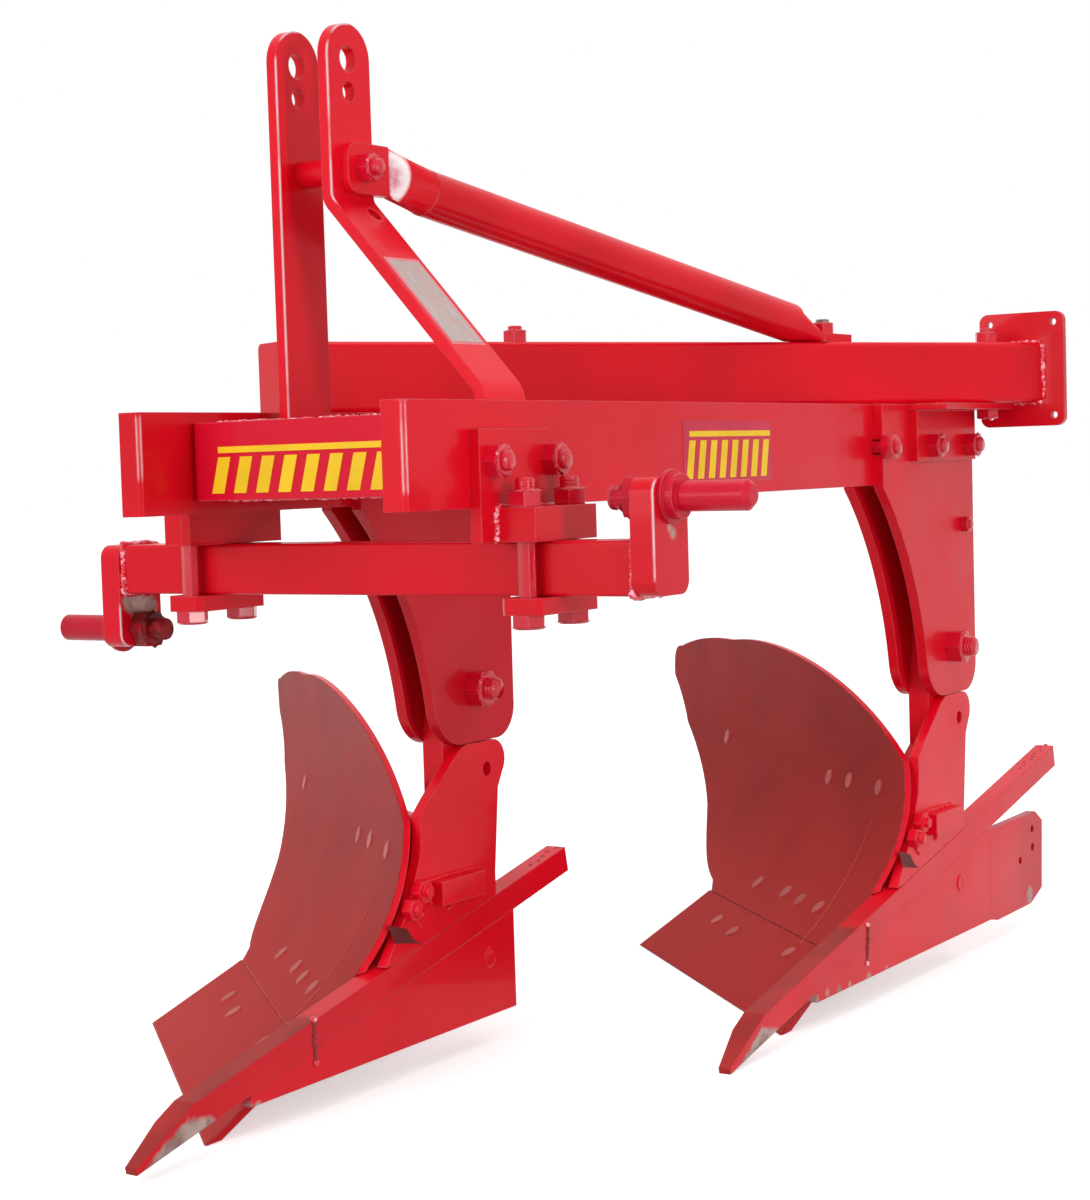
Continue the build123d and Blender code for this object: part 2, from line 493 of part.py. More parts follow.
def outline_plane(xc, yb, n0=-150.0):
    # across the board, its x along s and its y up
    return Plane(origin=(xc + N_DIR[0] * n0, yb + N_DIR[1] * n0, 0), x_dir=S_DIR, z_dir=N_DIR)


OUTLINE_DEPTH = 750.0

for name, _, _, xc, yb in BODIES:
    for side, u in (("left", CHEEK_IN), ("right", -CHEEK_OUT)):
        with BuildPart() as cheek:
            with BuildSketch(facing_x(xc + u, yb)):
                with BuildLine():
                    Polyline((588, BEAM_TOP), (306, BEAM_TOP), (306, 631))
                    ThreePointArc((306, 631), (391, 515), (427, 405))
                    ThreePointArc((427, 405), (444, 372), (478, 358))
                    Line((478, 358), (546, 358))
                    ThreePointArc((546, 358), (576, 370), (586, 400))
                    Line((586, 400), (588, BEAM_TOP))
                make_face()
            extrude(amount=CHEEK_T)
            for v in TOP_BOLTS:
                bore(facing_x(xc + u, yb + v, TOP_BOLT_Z), LEG_BOLT_D, CHEEK_T)
            bore(facing_x(xc + u, yb + PIVOT[0], PIVOT[1]), PIVOT_D, CHEEK_T)
            bore(facing_x(xc + u, yb + SHEAR[0], SHEAR[1]), SHEAR_D, CHEEK_T)
        finish(name + "_leg_" + side, cheek.part)

    # frog: a shank between the cheeks, with a wing under the share and an arm behind the board
    with BuildPart() as wing:
        curved_strip(xc, yb, SHARE_T + GAP, SHARE_T + 14, 205, 520, SHARE_ANG, radians(43), SHARE_RUN)
        block(xc - 600, xc - 2, yb, yb + 900, 30, 120, mode=Mode.INTERSECT)
    with BuildPart() as frog:
        flat_plate(facing_x(xc - FROG_U, yb), [
            (189, LS_Z0 + 2), (232, 62), (292, 94), (345, 140), (386, 190), (410, 240), (420, 272),
            (458, 296), (458, 362), (494, 560), (494, 612), (578, 612), (582, 420), (546, 357),
            (558, 331), (545, 300), (534, 203), (534, LS_Z0 + 2)], 2 * FROG_U)
        add(wing.part)
        curved_strip(xc, yb, BOARD_T + GAP, BOARD_T + 12, 290, 500, radians(68), radians(82))
        cut_bar_slot(xc, yb, BAR_U0 - GAP, FROG_U + 1, GAP)
        bore(facing_x(xc - FROG_U, yb + PIVOT[0], PIVOT[1]), PIVOT_D, 2 * FROG_U)
        bore(facing_x(xc - FROG_U, yb + SHEAR[0], SHEAR[1]), SHEAR_D, 2 * FROG_U)
    finish(name + "_frog", frog.part)

    # side plate above the bar, with a horn that reaches the board's edge
    with BuildPart() as side_plate:
        with BuildSketch(facing_x(xc + FROG_U, yb)):
            with BuildLine():
                Polyline((537, 150), (322, 132), (366, 190), (390, 240), (394, 262), (394, 288),
                         (413, 305), (470, 350), (486, 357), (540, 357))
                ThreePointArc((540, 357), (562, 342), (558, 318))
                Polyline((558, 318), (548, 300), (537, 203), (537, 150))
            make_face()
            with Locations(SIDE_HOLE):
                Circle(SMALL_D / 2, mode=Mode.SUBTRACT)
        extrude(amount=SIDE_T)
        cut_bar_slot(xc, yb, FROG_U - 1, FROG_U + SIDE_T + 1, GAP)
    finish(name + "_frog_side_plate", side_plate.part)

    end = LANDSIDE[name]
    with BuildPart() as landside:
        flat_plate(facing_x(xc + FROG_U, yb), [
            (LS_V0, LS_Z0), (LS_V0, bar_low(LS_V0) - GAP), (end, bar_low(end) - GAP), (end, LS_Z0)], LS_T)
    finish(name + "_landside", landside.part)

    # bar point: wedge-cut on top at its tip and bevelled on its right side
    tip, tail = BARS[name]
    along_bar = Plane(origin=(xc + BAR_U0, yb + tip, bar_low(tip)), z_dir=(1, 0, 0),
                      x_dir=(0, cos(BAR_ANG), sin(BAR_ANG)))
    length = (tail - tip) / cos(BAR_ANG)
    with BuildPart() as bar:
        flat_plate(along_bar, [(0, 0), (length, 0), (length, BAR_H), (TIP_BEVEL, BAR_H), (0, TIP_EDGE)], BAR_W)
        flat_plate(level(xc + BAR_U0, yb + tip, 0), [(-1, TIP_SIDE_LEN), (-1, -BAR_H), (TIP_SIDE, -BAR_H),
                                                     (TIP_SIDE, 0), (0, TIP_SIDE_LEN)],
                   3 * BAR_H, Mode.SUBTRACT)
    finish(name + "_bar_point", bar.part)

    with BuildPart() as share:
        curved_strip(xc, yb, 0, SHARE_T, 0, 640, SHARE_ANG, radians(45), SHARE_RUN)
        with BuildSketch(outline_plane(xc, yb)):
            with BuildLine():
                Polyline((20, -5), (574, -5), (612, SEAM_TOP), (130, SEAM_TOP), close=True)
            make_face()
        extrude(amount=OUTLINE_DEPTH, mode=Mode.INTERSECT)
        block(xc - 700, xc + 0.2, yb - 100, yb + 1100, 4.6, 90, mode=Mode.INTERSECT)
        cut_bar_slot(xc, yb, BAR_U0 - 0.7, FROG_U + LS_T + 5, 1.5)
    finish(name + "_share", share.part)

    low = SEAM_TOP + SEAM_GAP
    with BuildPart() as board:
        curved_strip(xc, yb, 0, BOARD_T, 120, 1200, radians(20), radians(122))
        with BuildSketch(outline_plane(xc, yb)):
            with BuildLine():
                Polyline((604, low), (136, low), (163, 85), (205, 133))
                ThreePointArc((205, 133), (216, 200), (250, 282))
                ThreePointArc((250, 282), (535, 384), (860, 398))
                ThreePointArc((860, 398), (1000, 391), (1120, 371))
                ThreePointArc((1120, 371), (1160, 355), (1172, 320))
                Polyline((1172, 320), (1090, 250), (870, 148))
                ThreePointArc((870, 148), (755, 100), (640, 76))
                Line((640, 76), (604, low))
            make_face()
        extrude(amount=OUTLINE_DEPTH, mode=Mode.INTERSECT)
        cut_bar_slot(xc, yb, BAR_U0 - 0.7, FROG_U + LS_T + 5, 1.5)
    finish(name + "_moldboard", board.part)

    # stay from the frog to the board's wing: a foot bolted to the board's back, a rod and a boss
    back_r = BOARD_R + BOARD_T
    back_n = sqrt(back_r ** 2 - (BOARD_STAY_Z - ZC) ** 2)
    back_at = Vector(xc, yb, BOARD_STAY_Z) + Vector(*S_DIR) * BOARD_STAY_S + Vector(*N_DIR) * (NC + back_n)
    back_dir = Vector(*N_DIR) * back_n + Vector(0, 0, BOARD_STAY_Z - ZC)
    foot = Plane(origin=back_at, x_dir=S_DIR, z_dir=back_dir).offset(GAP)
    rod_from = (foot * Pos(-FOOT_L / 2, 0, FOOT_T + BOARD_STAY_D / 4)).position
    rod_to = Vector(xc - FROG_U - GAP - ROD_SET, yb + LUG_V, LUG_AT_Z)
    boss = facing_x(xc - FROG_U - GAP, yb + LUG_V, LUG_AT_Z, -1)
    with BuildPart() as board_stay:
        with BuildSketch(foot) as foot_shape:
            with Locations((-(FOOT_L - FOOT_W) / 2, 0)):
                Rectangle(FOOT_L, FOOT_W)
            chamfer(foot_shape.vertices(), FOOT_CUT)
        extrude(amount=FOOT_T)
        prism(foot.offset(FOOT_T), 6, BOARD_NUT, BOARD_NUT_T)
        prism(Plane(origin=rod_from, z_dir=rod_to - rod_from), ROUND_SIDES, BOARD_STAY_D,
              (rod_to - rod_from).length, flats=False)
        prism(boss, ROUND_SIDES, LUG_D, LUG_T, flats=False)
        prism(boss.offset(LUG_T), 6, BOARD_NUT, BOARD_NUT_T)
    finish(name + "_board_stay", board_stay.part)

    with BuildPart() as leg_bolts:
        for i, v in enumerate(TOP_BOLTS):
            grip = 2 * CHEEK_OUT + (BR_T if i else 0)
            bolt(facing_x(xc - CHEEK_OUT, yb + v, TOP_BOLT_Z), LEG_BOLT_D, grip, BOLT_TAIL)
        bolt(facing_x(xc - CHEEK_OUT, yb + PIVOT[0], PIVOT[1]), PIVOT_D, 2 * CHEEK_OUT, PIVOT_TAIL)
        bolt(facing_x(xc - CHEEK_OUT, yb + SHEAR[0], SHEAR[1]), SHEAR_D, 2 * CHEEK_OUT, BOLT_TAIL / 2)
    finish(name + "_leg_bolts", leg_bolts.part)

    # block that holds the bar down, with its set screw's nut ahead of it
    with BuildPart() as clip:
        u0 = xc + FROG_U + SIDE_T
        block(u0, u0 + CLIP_T, yb + CLIP_V[0], yb + CLIP_V[1], *CLIP_Z)
        prism(facing_x(u0, yb + SCREW_V, SCREW_Z), 6, SCREW_NUT, SCREW_NUT_T)
        prism(facing_x(u0 + SCREW_NUT_T, yb + SCREW_V, SCREW_Z), SHANK_SIDES, SCREW_D, BOLT_TAIL, flats=False)
    finish(name + "_bar_clip", clip.part)

# heel of the rear landside, carried by a strap behind both plates
_, _, _, xc, yb = BODIES[1]
HEEL_V0 = LANDSIDE["rear"] + HEEL_GAP
with BuildPart() as heel:
    flat_plate(facing_x(xc + FROG_U, yb), [
        (HEEL_V0, LS_Z0), (647, 32), (771, 33), (814, 49), (819, 145), (793, 161), (646, 159),
        (HEEL_V0, bar_low(HEEL_V0) - 2 * GAP)], LS_T)
    flat_plate(facing_x(xc + FROG_U - 10, yb), [(575, 50), (730, 50), (730, 148), (575, 140)], 10)
    for v, z in ((780, 138), (780, 112), (733, 100)):
        bore(facing_x(xc + FROG_U - 10, yb + v, z), 10, 10 + LS_T)
finish("rear_landside_heel", heel.part)

# ---------------------------------------------------------------- place and write
# the origin goes to the bottom centre of the whole plough's box
boxes = [piece.bounding_box() for piece in PIECES.values()]
low = [min(getattr(b.min, a) for b in boxes) for a in "XYZ"]
high = [max(getattr(b.max, a) for b in boxes) for a in "XYZ"]
SHIFT = (-(low[0] + high[0]) / 2, -(low[1] + high[1]) / 2, -low[2])
print("shift", SHIFT, "size", [high[i] - low[i] for i in range(3)], "nodes", len(PIECES))
for name, piece in PIECES.items():
    placed = Pos(*SHIFT) * piece
    placed.label = name
    export_step(placed, "parts/" + name + ".step")
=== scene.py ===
# The looks of a two-furrow mounted plough: paint, bare steel, welds, threads and the light it stands in.
from math import cos, pi, radians, sin, sqrt, tan

import bpy
from mathutils import Matrix, Vector


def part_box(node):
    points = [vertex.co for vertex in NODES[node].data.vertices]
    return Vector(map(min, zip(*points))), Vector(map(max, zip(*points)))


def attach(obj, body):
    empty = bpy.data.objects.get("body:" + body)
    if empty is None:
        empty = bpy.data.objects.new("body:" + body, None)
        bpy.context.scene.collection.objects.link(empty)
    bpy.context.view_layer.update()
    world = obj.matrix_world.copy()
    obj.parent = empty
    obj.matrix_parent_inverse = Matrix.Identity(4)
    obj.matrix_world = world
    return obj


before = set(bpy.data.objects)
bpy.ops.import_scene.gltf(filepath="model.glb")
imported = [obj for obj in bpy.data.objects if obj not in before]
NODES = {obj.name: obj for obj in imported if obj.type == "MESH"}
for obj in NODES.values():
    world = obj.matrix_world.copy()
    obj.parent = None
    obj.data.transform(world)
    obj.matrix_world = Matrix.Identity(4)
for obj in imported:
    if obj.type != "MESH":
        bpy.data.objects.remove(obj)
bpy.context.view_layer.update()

# ------------------------------------------------------------------ camera
# A low view of the plough's left front corner, from the height of its beams.
# The steel drawing's zero is on the ground, between the beams at their front ends.
SHAFT_Y, SHAFT_Z = 175.0, 577.0
shaft_low, shaft_high = (Vector(corner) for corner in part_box("cross_shaft"))
ZERO = (shaft_low + shaft_high) / 2 - Vector((0, SHAFT_Y, SHAFT_Z)) / 1000


def at(x, y, z):
    # millimetres of the steel drawing to metres of the frame
    return ZERO + Vector((x, y, z)) / 1000


CAMERA_AT = at(1374.86, -1636.37, 673.52)
YAW, PITCH, ROLL = radians(32.995), radians(3.3689), radians(-1.7758)
ahead = Vector((-sin(YAW) * cos(PITCH), cos(YAW) * cos(PITCH), -sin(PITCH)))
level_right = Vector((cos(YAW), sin(YAW), 0))
level_up = level_right.cross(ahead)
right = cos(ROLL) * level_right + sin(ROLL) * level_up
up = cos(ROLL) * level_up - sin(ROLL) * level_right
camera = bpy.data.cameras.new("camera")
camera.sensor_fit = "VERTICAL"
camera.sensor_height = 36.0
camera.lens = 69.128
camera_object = bpy.data.objects.new("camera", camera)
camera_object.matrix_world = Matrix((right, up, -ahead)).transposed().to_4x4()
camera_object.matrix_world.translation = CAMERA_AT
bpy.context.scene.collection.objects.link(camera_object)
bpy.context.scene.camera = camera_object

# ------------------------------------------------------------------ beams, legs and frogs
# Flat bars and plates of steel, flame-cut, welded up and sprayed with glossy red enamel.
# The paint is thick on the flats, thin along the edges with a pale painted highlight, and a little uneven in
# colour.


class Wiring:
    # adds nodes to one tree and joins their sockets
    def __init__(self, tree):
        self.tree = tree

    def add(self, kind, takes=(), **settings):
        node = self.tree.nodes.new(kind)
        for key, value in settings.items():
            setattr(node, key, value)
        for socket, value in dict(takes).items():
            self.give(node.inputs[socket], value)
        return node

    def give(self, socket, value):
        if isinstance(value, bpy.types.NodeSocket):
            self.tree.links.new(value, socket)
        else:
            socket.default_value = value

    def math(self, operation, a, b=0.0):
        return self.add("ShaderNodeMath", {0: a, 1: b}, operation=operation).outputs[0]

    def vector(self, operation, a, b=(0, 0, 0), out="Vector"):
        return self.add("ShaderNodeVectorMath", {0: a, 1: b}, operation=operation).outputs[out]

    def split(self, vector):
        return self.add("ShaderNodeSeparateXYZ", {0: vector}).outputs

    def join(self, x, y, z):
        return self.add("ShaderNodeCombineXYZ", {"X": x, "Y": y, "Z": z}).outputs[0]

    def spot(self):
        return self.add("ShaderNodeTexCoord").outputs["Object"]

    def normal(self):
        return self.add("ShaderNodeNewGeometry").outputs["Normal"]

    def noise(self, spot, size, detail):
        takes = {"Vector": spot, "Scale": size, "Detail": detail}
        return self.add("ShaderNodeTexNoise", takes).outputs["Fac"]

    def blend(self, mask, a, b):
        return self.add("ShaderNodeMix", {0: mask, 6: a, 7: b}, data_type="RGBA").outputs[2]

    def span(self, value, low, high, to_low=0.0, to_high=1.0):
        return self.add("ShaderNodeMapRange", {0: value, 1: low, 2: high, 3: to_low, 4: to_high}).outputs[0]

    def place(self, name, **takes):
        node = self.add("ShaderNodeGroup", node_tree=bpy.data.node_groups[name])
        for socket, value in takes.items():
            self.give(node.inputs[socket.replace("_", " ")], value)
        return node.outputs


def new_tree(name, kind, takes, gives):
    tree = bpy.data.node_groups.new(name, kind)
    for label, socket_kind, value in takes:
        socket = tree.interface.new_socket(label, in_out="INPUT", socket_type=socket_kind)
        if value is not None:
            socket.default_value = value
    for label, socket_kind in gives:
        tree.interface.new_socket(label, in_out="OUTPUT", socket_type=socket_kind)
    wiring = Wiring(tree)
    return wiring, wiring.add("NodeGroupInput").outputs, wiring.add("NodeGroupOutput").inputs


NUMBER, VECTOR = "NodeSocketFloat", "NodeSocketVector"
GEOMETRY, FINISH = "NodeSocketGeometry", "NodeSocketMaterial"

# how the paint's colour drifts over a piece
w, takes, gives = new_tree("paint_drift", "ShaderNodeTree",
                           [("Size", NUMBER, 4.0), ("Low", NUMBER, 0.35), ("High", NUMBER, 0.7)],
                           [("Mask", NUMBER)])
spot = w.spot()
cloud = w.noise(spot, takes["Size"], 2.0)
soft = w.add("ShaderNodeMapRange", {0: cloud, 1: takes["Low"], 2: takes["High"]},
             interpolation_type="SMOOTHSTEP")
w.give(gives["Mask"], soft.outputs[0])

# where an edge has worn thin and carries a pale painted highlight, and the soft normal of a rounded edge
w, takes, gives = new_tree("worn_edge", "ShaderNodeTree",
                           [("Radius", NUMBER, 0.002), ("Amount", NUMBER, 1.0), ("Grain", NUMBER, 60.0)],
                           [("Mask", NUMBER), ("Normal", VECTOR)])
rounded = w.add("ShaderNodeBevel", {"Radius": takes["Radius"]}, samples=6).outputs["Normal"]
flat = w.normal()
turn = w.math("SUBTRACT", 1.0, w.vector("DOT_PRODUCT", rounded, flat, "Value"))
spot = w.spot()
grain = w.noise(spot, takes["Grain"], 4.0)
ragged = w.math("MULTIPLY", w.span(turn, 0.03, 0.2), w.span(grain, 0.35, 0.6, 0.25))
w.give(gives["Mask"], w.math("MULTIPLY", ragged, takes["Amount"]))
w.give(gives["Normal"], rounded)

# a place where something rubbed the paint away
w, takes, gives = new_tree("bare_patch", "ShaderNodeTree",
                           [("Centre", VECTOR, (0, 0, 0)), ("Radius", NUMBER, 0.02), ("Grain", NUMBER, 70.0)],
                           [("Mask", NUMBER)])
spot = w.spot()
away = w.vector("DISTANCE", spot, takes["Centre"], "Value")
grain = w.noise(spot, takes["Grain"], 3.0)
reach = w.math("MULTIPLY", takes["Radius"], w.span(grain, 0.3, 0.7, 0.8, 1.2))
w.give(gives["Mask"], w.span(w.math("SUBTRACT", reach, away), -0.003, 0.003))

# a painted highlight: a bright line painted where thick gloss rounds an edge, within a box about a centre
w, takes, gives = new_tree("edge_glint", "ShaderNodeTree",
                           [("Centre", VECTOR, (0, 0, 0)), ("Reach", VECTOR, (0.01, 0.01, 0.01)),
                            ("Radius", NUMBER, 0.004)],
                           [("Mask", NUMBER)])
rounded = w.add("ShaderNodeBevel", {"Radius": takes["Radius"]}, samples=6).outputs["Normal"]
flat = w.normal()
turn = w.math("SUBTRACT", 1.0, w.vector("DOT_PRODUCT", rounded, flat, "Value"))
spot = w.spot()
away = w.vector("SUBTRACT", w.vector("ABSOLUTE", w.vector("SUBTRACT", spot, takes["Centre"])), takes["Reach"])
parts = w.split(away)
furthest = w.math("MAXIMUM", parts["X"], w.math("MAXIMUM", parts["Y"], parts["Z"]))
inside = w.span(furthest, -0.003, 0.003, 1.0, 0.0)
grain = w.noise(spot, 18.0, 2.0)
uneven = w.math("MULTIPLY", inside, w.span(grain, 0.32, 0.5, 0.35, 1.0))
w.give(gives["Mask"], w.math("MULTIPLY", w.span(turn, 0.015, 0.07), uneven))

# fine unevenness of a sprayed or forged surface
w, takes, gives = new_tree("fine_relief", "ShaderNodeTree",
                           [("Size", NUMBER, 200.0), ("Second Size", NUMBER, 30.0), ("Share", NUMBER, 0.3)],
                           [("Height", NUMBER)])
spot = w.spot()
fine = w.noise(spot, takes["Size"], 2.0)
broad = w.noise(spot, takes["Second Size"], 2.0)
mixed = w.add("ShaderNodeMix", {0: takes["Share"], 2: fine, 3: broad}, data_type="FLOAT").outputs[0]
w.give(gives["Height"], mixed)


def colour(red, green, blue):
    # a paint chart's 0 to 255 values to the renderer's linear light
    def linear(value):
        value /= 255
        return value / 12.92 if value <= 0.04045 else ((value + 0.055) / 1.055) ** 2.4
    return linear(red), linear(green), linear(blue), 1.0


# the last of these reds is the pale edge colour: worn-thin paint and a painted highlight in one
RED, RED_DEEP, PALE_EDGE_AND_HIGHLIGHT = colour(222, 10, 34), colour(206, 9, 28), colour(240, 120, 140)
# the last of these is the near-white colour of painted highlights on edges
STEEL, STEEL_DARK, HIGHLIGHT_PAINT = colour(190, 166, 156), colour(140, 108, 100), colour(255, 228, 234)


def new_material(name, **settings):
    material = bpy.data.materials.new(name)
    material.use_nodes = True
    shader = material.node_tree.nodes["Principled BSDF"]
    for socket, value in settings.items():
        shader.inputs[socket.replace("_", " ")].default_value = value
    return material, Wiring(material.node_tree), shader.inputs


def reopen(material):
    return Wiring(material.node_tree), material.node_tree.nodes["Principled BSDF"].inputs


def enamel(name, patches=(), painted_highlights=(), base=RED, deep=RED_DEEP, edge=0.55, smooth=(0.285, 0.4),
           sheen=0.12, clear=0.12):
    # glossy paint; steel shows at each patch, a centre and a radius, and each listed box gets a painted
    # highlight on its edge
    material, w, shader = new_material(name, Specular_IOR_Level=sheen, Coat_Weight=clear, Coat_Roughness=0.05)
    edge_wear_and_highlight = w.place("worn_edge", Radius=0.0022, Amount=edge)
    paint = w.blend(w.place("paint_drift", Size=4.5, Low=0.38, High=0.68)["Mask"], base, deep)
    # pale edges: thin worn paint, with a painted highlight laid on them too
    paint = w.blend(edge_wear_and_highlight["Mask"], paint, PALE_EDGE_AND_HIGHLIGHT)
    rough = w.place("paint_drift", Size=12.0, Low=0.3, High=0.75)["Mask"]
    rough = w.span(rough, 0.0, 1.0, *smooth)
    if patches:
        bare = 0.0
        for centre, radius in patches:
            bare = w.math("MAXIMUM", w.place("bare_patch", Centre=centre, Radius=radius)["Mask"], bare)
        steel = w.blend(w.place("paint_drift", Size=60.0, Low=0.35, High=0.7)["Mask"], STEEL, STEEL_DARK)
        paint = w.blend(bare, paint, steel)
        w.give(shader["Metallic"], w.math("MULTIPLY", bare, 0.35))
    # painted highlights: near-white colour laid along the edges within each box
    for centre, around in painted_highlights:
        highlight_mask = w.place("edge_glint", Centre=centre, Reach=Vector(around) / 1000)["Mask"]
        paint = w.blend(highlight_mask, paint, HIGHLIGHT_PAINT)
    w.give(shader["Base Color"], paint)
    w.give(shader["Roughness"], rough)
    relief = w.place("fine_relief", Size=210.0, Second_Size=60.0, Share=0.3)["Height"]
    w.give(shader["Normal"], w.add("ShaderNodeBump", {"Strength": 0.08, "Distance": 0.001, "Height": relief,
                                                      "Normal": edge_wear_and_highlight["Normal"]}).outputs["Normal"])
    return material


def coat(material, *names):
    for name in names:
        for slot in NODES[name].material_slots:
            slot.material = material


frame_red = enamel("frame_red")
coat(frame_red, *NODES)
# the front legs get a darker copy of the red: painted shade for the frame's shadow on them
front_leg_shade_red = enamel("front_leg_painted_shade", base=colour(202, 12, 32), deep=colour(188, 11, 28))
coat(front_leg_shade_red, "front_leg_left", "front_leg_right")
# the beams' front corner edges carry painted highlights
beam_red = enamel("beam_red", painted_highlights=[(at(170.5, 0, 692), (7, 7, 40)), (at(-142.5, 0, 700), (5, 5, 30))])
coat(beam_red, "left_beam", "right_beam")

# ------------------------------------------------------------------ front plate and its stickers
# The front plate is bent from flat bar and bolted between the beams. Two printed foil stickers,
# here with plain slanted yellow bars only, lie on it and on the left beam.
FOIL = 0.35
STICKER_BASE, STICKER_YELLOW = colour(206, 10, 60), colour(250, 204, 4)
FRONT_STICKER = dict(start=-114.0, end=106.0, low=655.0, high=700.0, bars=8)
BEAM_STICKER = dict(start=501.0, end=695.0, low=653.0, high=704.0, bars=8)
PLATE_Y, BEAM_FACE = 70.0, 170.5


def add_piece(name, mesh, material, body):
    mesh.name = name
    mesh.materials.clear()
    mesh.materials.append(material)
    piece = bpy.data.objects.new(name, mesh)
    bpy.context.scene.collection.objects.link(piece)
    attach(piece, body)
    return piece


def rectangle(a0, a1, b0, b1):
    return [(a0, b0), (a1, b0), (a1, b1), (a0, b1)]


def slabs(name, outlines, origin, across, upward, thick):
    # flat shapes on one plane, each a counter-clockwise outline in millimetres, as one mesh
    points, faces = [], []
    out = across.cross(upward)
    for outline in outlines:
        first, count = len(points), len(outline)
        for lift in (0.0, thick):
            points += [origin + (across * x + upward * y + out * lift) / 1000 for x, y in outline]
        faces.append([first + count + i for i in range(count)])
        faces.append([first + i for i in reversed(range(count))])
        for i in range(count):
            j = (i + 1) % count
            faces.append((first + i, first + j, first + count + j, first + count + i))
    mesh = bpy.data.meshes.new(name)
    mesh.from_pydata(points, [], faces)
    return mesh


def foil(name, tint, rough):
    material, w, shader = new_material(name, Specular_IOR_Level=0.3)
    faded = w.place("paint_drift", Size=22.0, Low=0.3, High=0.75)["Mask"]
    dull = tuple(part * 0.86 for part in tint[:3]) + (1.0,)
    w.give(shader["Base Color"], w.blend(faded, tint, dull))
    w.give(shader["Roughness"], w.span(faded, 0.0, 1.0, rough, rough + 0.12))
    return material


sticker_red = foil("sticker_red", STICKER_BASE, 0.3)
plate_red = enamel("front_plate", base=colour(226, 9, 48), deep=colour(214, 9, 42))
coat(plate_red, "front_cross_plate")
sticker_yellow = foil("sticker_yellow", STICKER_YELLOW, 0.38)
BACKING_EDGE, BACKING_OVER, STRIPE, STRIPE_GAP = 5.0, 6.0, 6.0, 4.0
X, Y, Z = Vector((1, 0, 0)), Vector((0, 1, 0)), Vector((0, 0, 1))
for name, sticker, origin, across in (("front", FRONT_STICKER, at(0, PLATE_Y, 0), X),
                                      ("beam", BEAM_STICKER, at(BEAM_FACE, 0, 0), Y)):
    start, end, low, high = (sticker[key] for key in ("start", "end", "low", "high"))
    backing = rectangle(start - BACKING_EDGE, end + BACKING_EDGE, low - BACKING_EDGE,
                        high + BACKING_EDGE + BACKING_OVER)
    if name == "beam":
        add_piece("beam_sticker", slabs(name, [backing], origin, across, Z, FOIL), sticker_red, "frame")
    pitch = (end - start) / sticker["bars"]
    wide, lean = pitch * 0.62, pitch * 0.34
    bar_high = high - STRIPE - STRIPE_GAP
    bars = [[(x, low), (x + wide - lean * 0.2, low), (x + wide + lean * 0.8, bar_high), (x + lean, bar_high)]
            for x in (start + pitch * i for i in range(sticker["bars"]))]
    stripe = rectangle(start + lean, end, high - STRIPE, high)
    add_piece(name + "_sticker_bars", slabs(name, bars + [stripe], origin, across, Z, 2 * FOIL),
              sticker_yellow, "frame")

# ------------------------------------------------------------------ weld beads
# Arc welds join the cranks to the shaft, the blocks to the brackets, the end plate to the top
# beam and the mast to its tube: rippled beads of steel, sprayed over with the same red, with pale painted
# highlights flecked on them.
w, takes, gives = new_tree("weld_bead", "GeometryNodeTree",
                           [("Path", GEOMETRY, None), ("Pitch", NUMBER, 0.003),
                            ("Width", NUMBER, 0.007), ("Height", NUMBER, 0.005),
                            ("Wander", NUMBER, 0.0006), ("Seed", "NodeSocketInt", 3),
                            ("Finish", FINISH, None)],
                           [("Mesh", GEOMETRY)])
line = w.add("GeometryNodeMeshToCurve", {"Mesh": takes["Path"]}).outputs["Curve"]
spaced = w.add("GeometryNodeResampleCurve", {"Curve": line, "Length": takes["Pitch"]}, mode="LENGTH")
ripple = w.add("GeometryNodeMeshIcoSphere", {"Radius": 0.5, "Subdivisions": 2}).outputs["Mesh"]
along = w.add("GeometryNodeInputTangent").outputs["Tangent"]
turned = w.add("FunctionNodeAlignRotationToVector", {"Factor": 1.0, "Vector": along},
               axis="X").outputs["Rotation"]
vary = w.add("FunctionNodeRandomValue", {"Min": 0.82, "Max": 1.18, "Seed": takes["Seed"]}, data_type="FLOAT")
sizes = w.join(w.math("MULTIPLY", takes["Pitch"], 2.3), takes["Width"], takes["Height"])
sizes = w.add("ShaderNodeVectorMath", {0: sizes, "Scale": vary.outputs["Value"]},
              operation="SCALE").outputs[0]
placed = w.add("GeometryNodeInstanceOnPoints", {"Points": spaced.outputs["Curve"], "Instance": ripple,
                                                "Rotation": turned, "Scale": sizes}).outputs["Instances"]
drift = w.add("FunctionNodeRandomValue", {"Min": (-1, -1, -1), "Max": (1, 1, 1), "Seed": takes["Seed"]},
              data_type="FLOAT_VECTOR").outputs["Value"]
drift = w.add("ShaderNodeVectorMath", {0: drift, "Scale": takes["Wander"]}, operation="SCALE").outputs[0]
placed = w.add("GeometryNodeTranslateInstances", {"Instances": placed, "Translation": drift,
                                                  "Local Space": False}).outputs["Instances"]
solid = w.add("GeometryNodeRealizeInstances", {"Geometry": placed}).outputs["Geometry"]
solid = w.add("GeometryNodeSetShadeSmooth", {"Geometry": solid}).outputs["Geometry"]
w.give(gives["Mesh"], w.add("GeometryNodeSetMaterial", {"Geometry": solid,
                                                        "Material": takes["Finish"]}).outputs["Geometry"])


